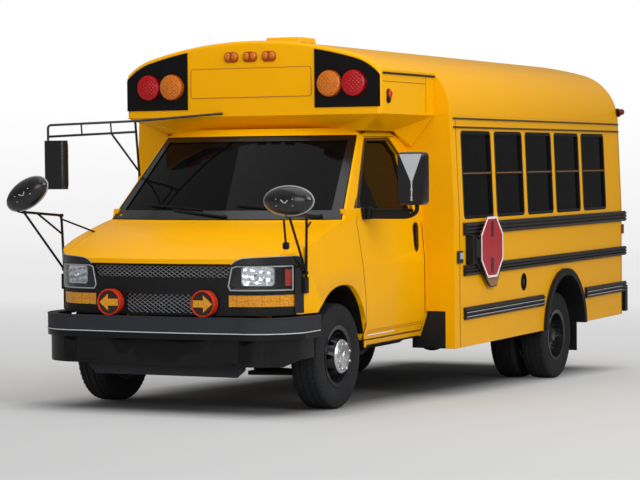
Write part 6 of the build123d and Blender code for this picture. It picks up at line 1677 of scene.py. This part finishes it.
def makeFloor():
    # A flat square, its colour darkened under the bus as a painted shadow. For the camera alone it also
    # glows, more with the distance from a point near the camera, so that it runs into the pale backdrop.
    h = studio["floorHalf"]
    mesh = bpy.data.meshes.new("studioFloor")
    mesh.from_pydata([(-h, -h, 0), (h, -h, 0), (h, h, 0), (-h, h, 0)], [], [(0, 1, 2, 3)])
    obj = bpy.data.objects.new("studioFloor", mesh)
    bpy.context.scene.collection.objects.link(obj)
    f = Finish("studioFloor", (studio["grey"],) * 3, 0.9, Specular_IOR_Level=0.1)
    coord = f.tree.nodes.new("ShaderNodeTexCoord")
    length = f.tree.nodes.new("ShaderNodeVectorMath")
    length.operation = "LENGTH"
    shift = f.tree.nodes.new("ShaderNodeVectorMath")
    shift.operation, shift.inputs[1].default_value = "SUBTRACT", (*studio["glowFrom"], 0)
    f.tree.links.new(coord.outputs["Object"], shift.inputs[0])
    f.tree.links.new(shift.outputs[0], length.inputs[0])
    split = f.tree.nodes.new("ShaderNodeSeparateXYZ")
    f.tree.links.new(coord.outputs["Object"], split.inputs[0])
    (x0, x1), (y0, y1) = studio["underHalf"], studio["underLength"]
    across = rangeNode(f.tree, mathNode(f.tree, "ABSOLUTE", split.outputs["X"]), x0, x1, 1.0, 0.0)
    along = rangeNode(f.tree, mathNode(f.tree, "ABSOLUTE", split.outputs["Y"]), y0, y1, 1.0, 0.0)
    paintedShadowMask = mathNode(f.tree, "MULTIPLY", across, along)      # one under the bus, none beside it
    # painted shadow: the floor's colour darkened under the bus
    f.tint(paintedShadowMask, (studio["grey"] * studio["shade"],) * 3)
    # the camera-only glow is kept off the painted shadow
    clear = mathNode(f.tree, "SUBTRACT", 1.0, paintedShadowMask)
    share = mathNode(f.tree, "DIVIDE", length.outputs["Value"], h)
    ramp = rampNode(f.tree, share, studio["glow"])
    path = f.tree.nodes.new("ShaderNodeLightPath")
    f.shader.inputs["Emission Color"].default_value = (1, 1, 1, 1)
    glow = mathNode(f.tree, "MULTIPLY", mathNode(f.tree, "MULTIPLY", ramp, clear),
                    path.outputs["Is Camera Ray"])
    f.tree.links.new(glow, f.shader.inputs["Emission Strength"])
    mesh.materials.append(f.material)


def makeWorld():
    # Three skies: an even fill that lights the surfaces, a pale one that the camera sees, and a dimmer
    # grey one for reflections and for what shows through glass, so that blacks and tints stay deep.
    world = bpy.data.worlds.new("studio")
    bpy.context.scene.world = world
    world.use_nodes = True
    tree = world.node_tree
    tree.nodes.clear()
    out, fill, sky, mirrored = (tree.nodes.new("ShaderNode" + kind) for kind in
                                ("OutputWorld", "Background", "Background", "Background"))
    coord, split = tree.nodes.new("ShaderNodeTexCoord"), tree.nodes.new("ShaderNodeSeparateXYZ")
    tree.links.new(coord.outputs["Generated"], split.inputs[0])
    fill.inputs["Color"].default_value, fill.inputs["Strength"].default_value = (1, 1, 1, 1), studio["fill"]
    for shader, stops in ((sky, studio["skyStops"]), (mirrored, studio["mirroredStops"])):
        tree.links.new(rampNode(tree, split.outputs["Z"], stops), shader.inputs["Color"])
    path, mix, last = (tree.nodes.new("ShaderNode" + kind) for kind in
                       ("LightPath", "MixShader", "MixShader"))
    glossy = mathNode(tree, "MAXIMUM", path.outputs["Is Glossy Ray"], path.outputs["Is Transmission Ray"])
    for node, inputs in ((mix, (glossy, fill.outputs[0], mirrored.outputs[0])),
                         (last, (path.outputs["Is Camera Ray"], mix.outputs[0], sky.outputs[0]))):
        for n, socket in enumerate(inputs):
            tree.links.new(socket, node.inputs[n])
    tree.links.new(last.outputs[0], out.inputs[0])


def makeLamp(name, spot, target, size, power):
    light = bpy.data.lights.new(name, "AREA")
    light.shape, light.size, light.size_y, light.energy = "RECTANGLE", size[0], size[1], power
    obj = bpy.data.objects.new(name, light)
    obj.location = spot
    obj.rotation_euler = (Vector(target) - Vector(spot)).to_track_quat("-Z", "Y").to_euler()
    bpy.context.scene.collection.objects.link(obj)


def makeCamera():
    # The camera from its solved place: forward, right and up vectors as the matrix's columns.
    c = camera
    data = bpy.data.cameras.new("camera")
    data.sensor_fit, data.sensor_width = "HORIZONTAL", c["sensor"]
    data.lens = c["focalPixels"] * c["sensor"] / c["framePixels"]
    data.clip_end = 1000
    obj = bpy.data.objects.new("camera", data)
    bpy.context.scene.collection.objects.link(obj)
    yaw, pitch, roll = c["yaw"], c["pitch"], c["roll"]
    forward = Vector((-math.sin(yaw) * math.cos(pitch), math.cos(yaw) * math.cos(pitch), -math.sin(pitch)))
    right = Vector((math.cos(yaw), math.sin(yaw), 0))
    up = right.cross(forward)
    right, up = right * math.cos(roll) + up * math.sin(roll), up * math.cos(roll) - right * math.sin(roll)
    x, y, z = c["spot"]
    matrix = Matrix((right, up, -forward)).transposed().to_4x4()
    matrix.translation = (x, y + axleY, z)
    obj.matrix_world = matrix
    bpy.context.scene.camera = obj


makeFloor()
makeWorld()
for lamp in lamps:
    makeLamp(*lamp)
makeCamera()
bpy.context.scene.view_settings.view_transform = "Standard"
print("studio ready")
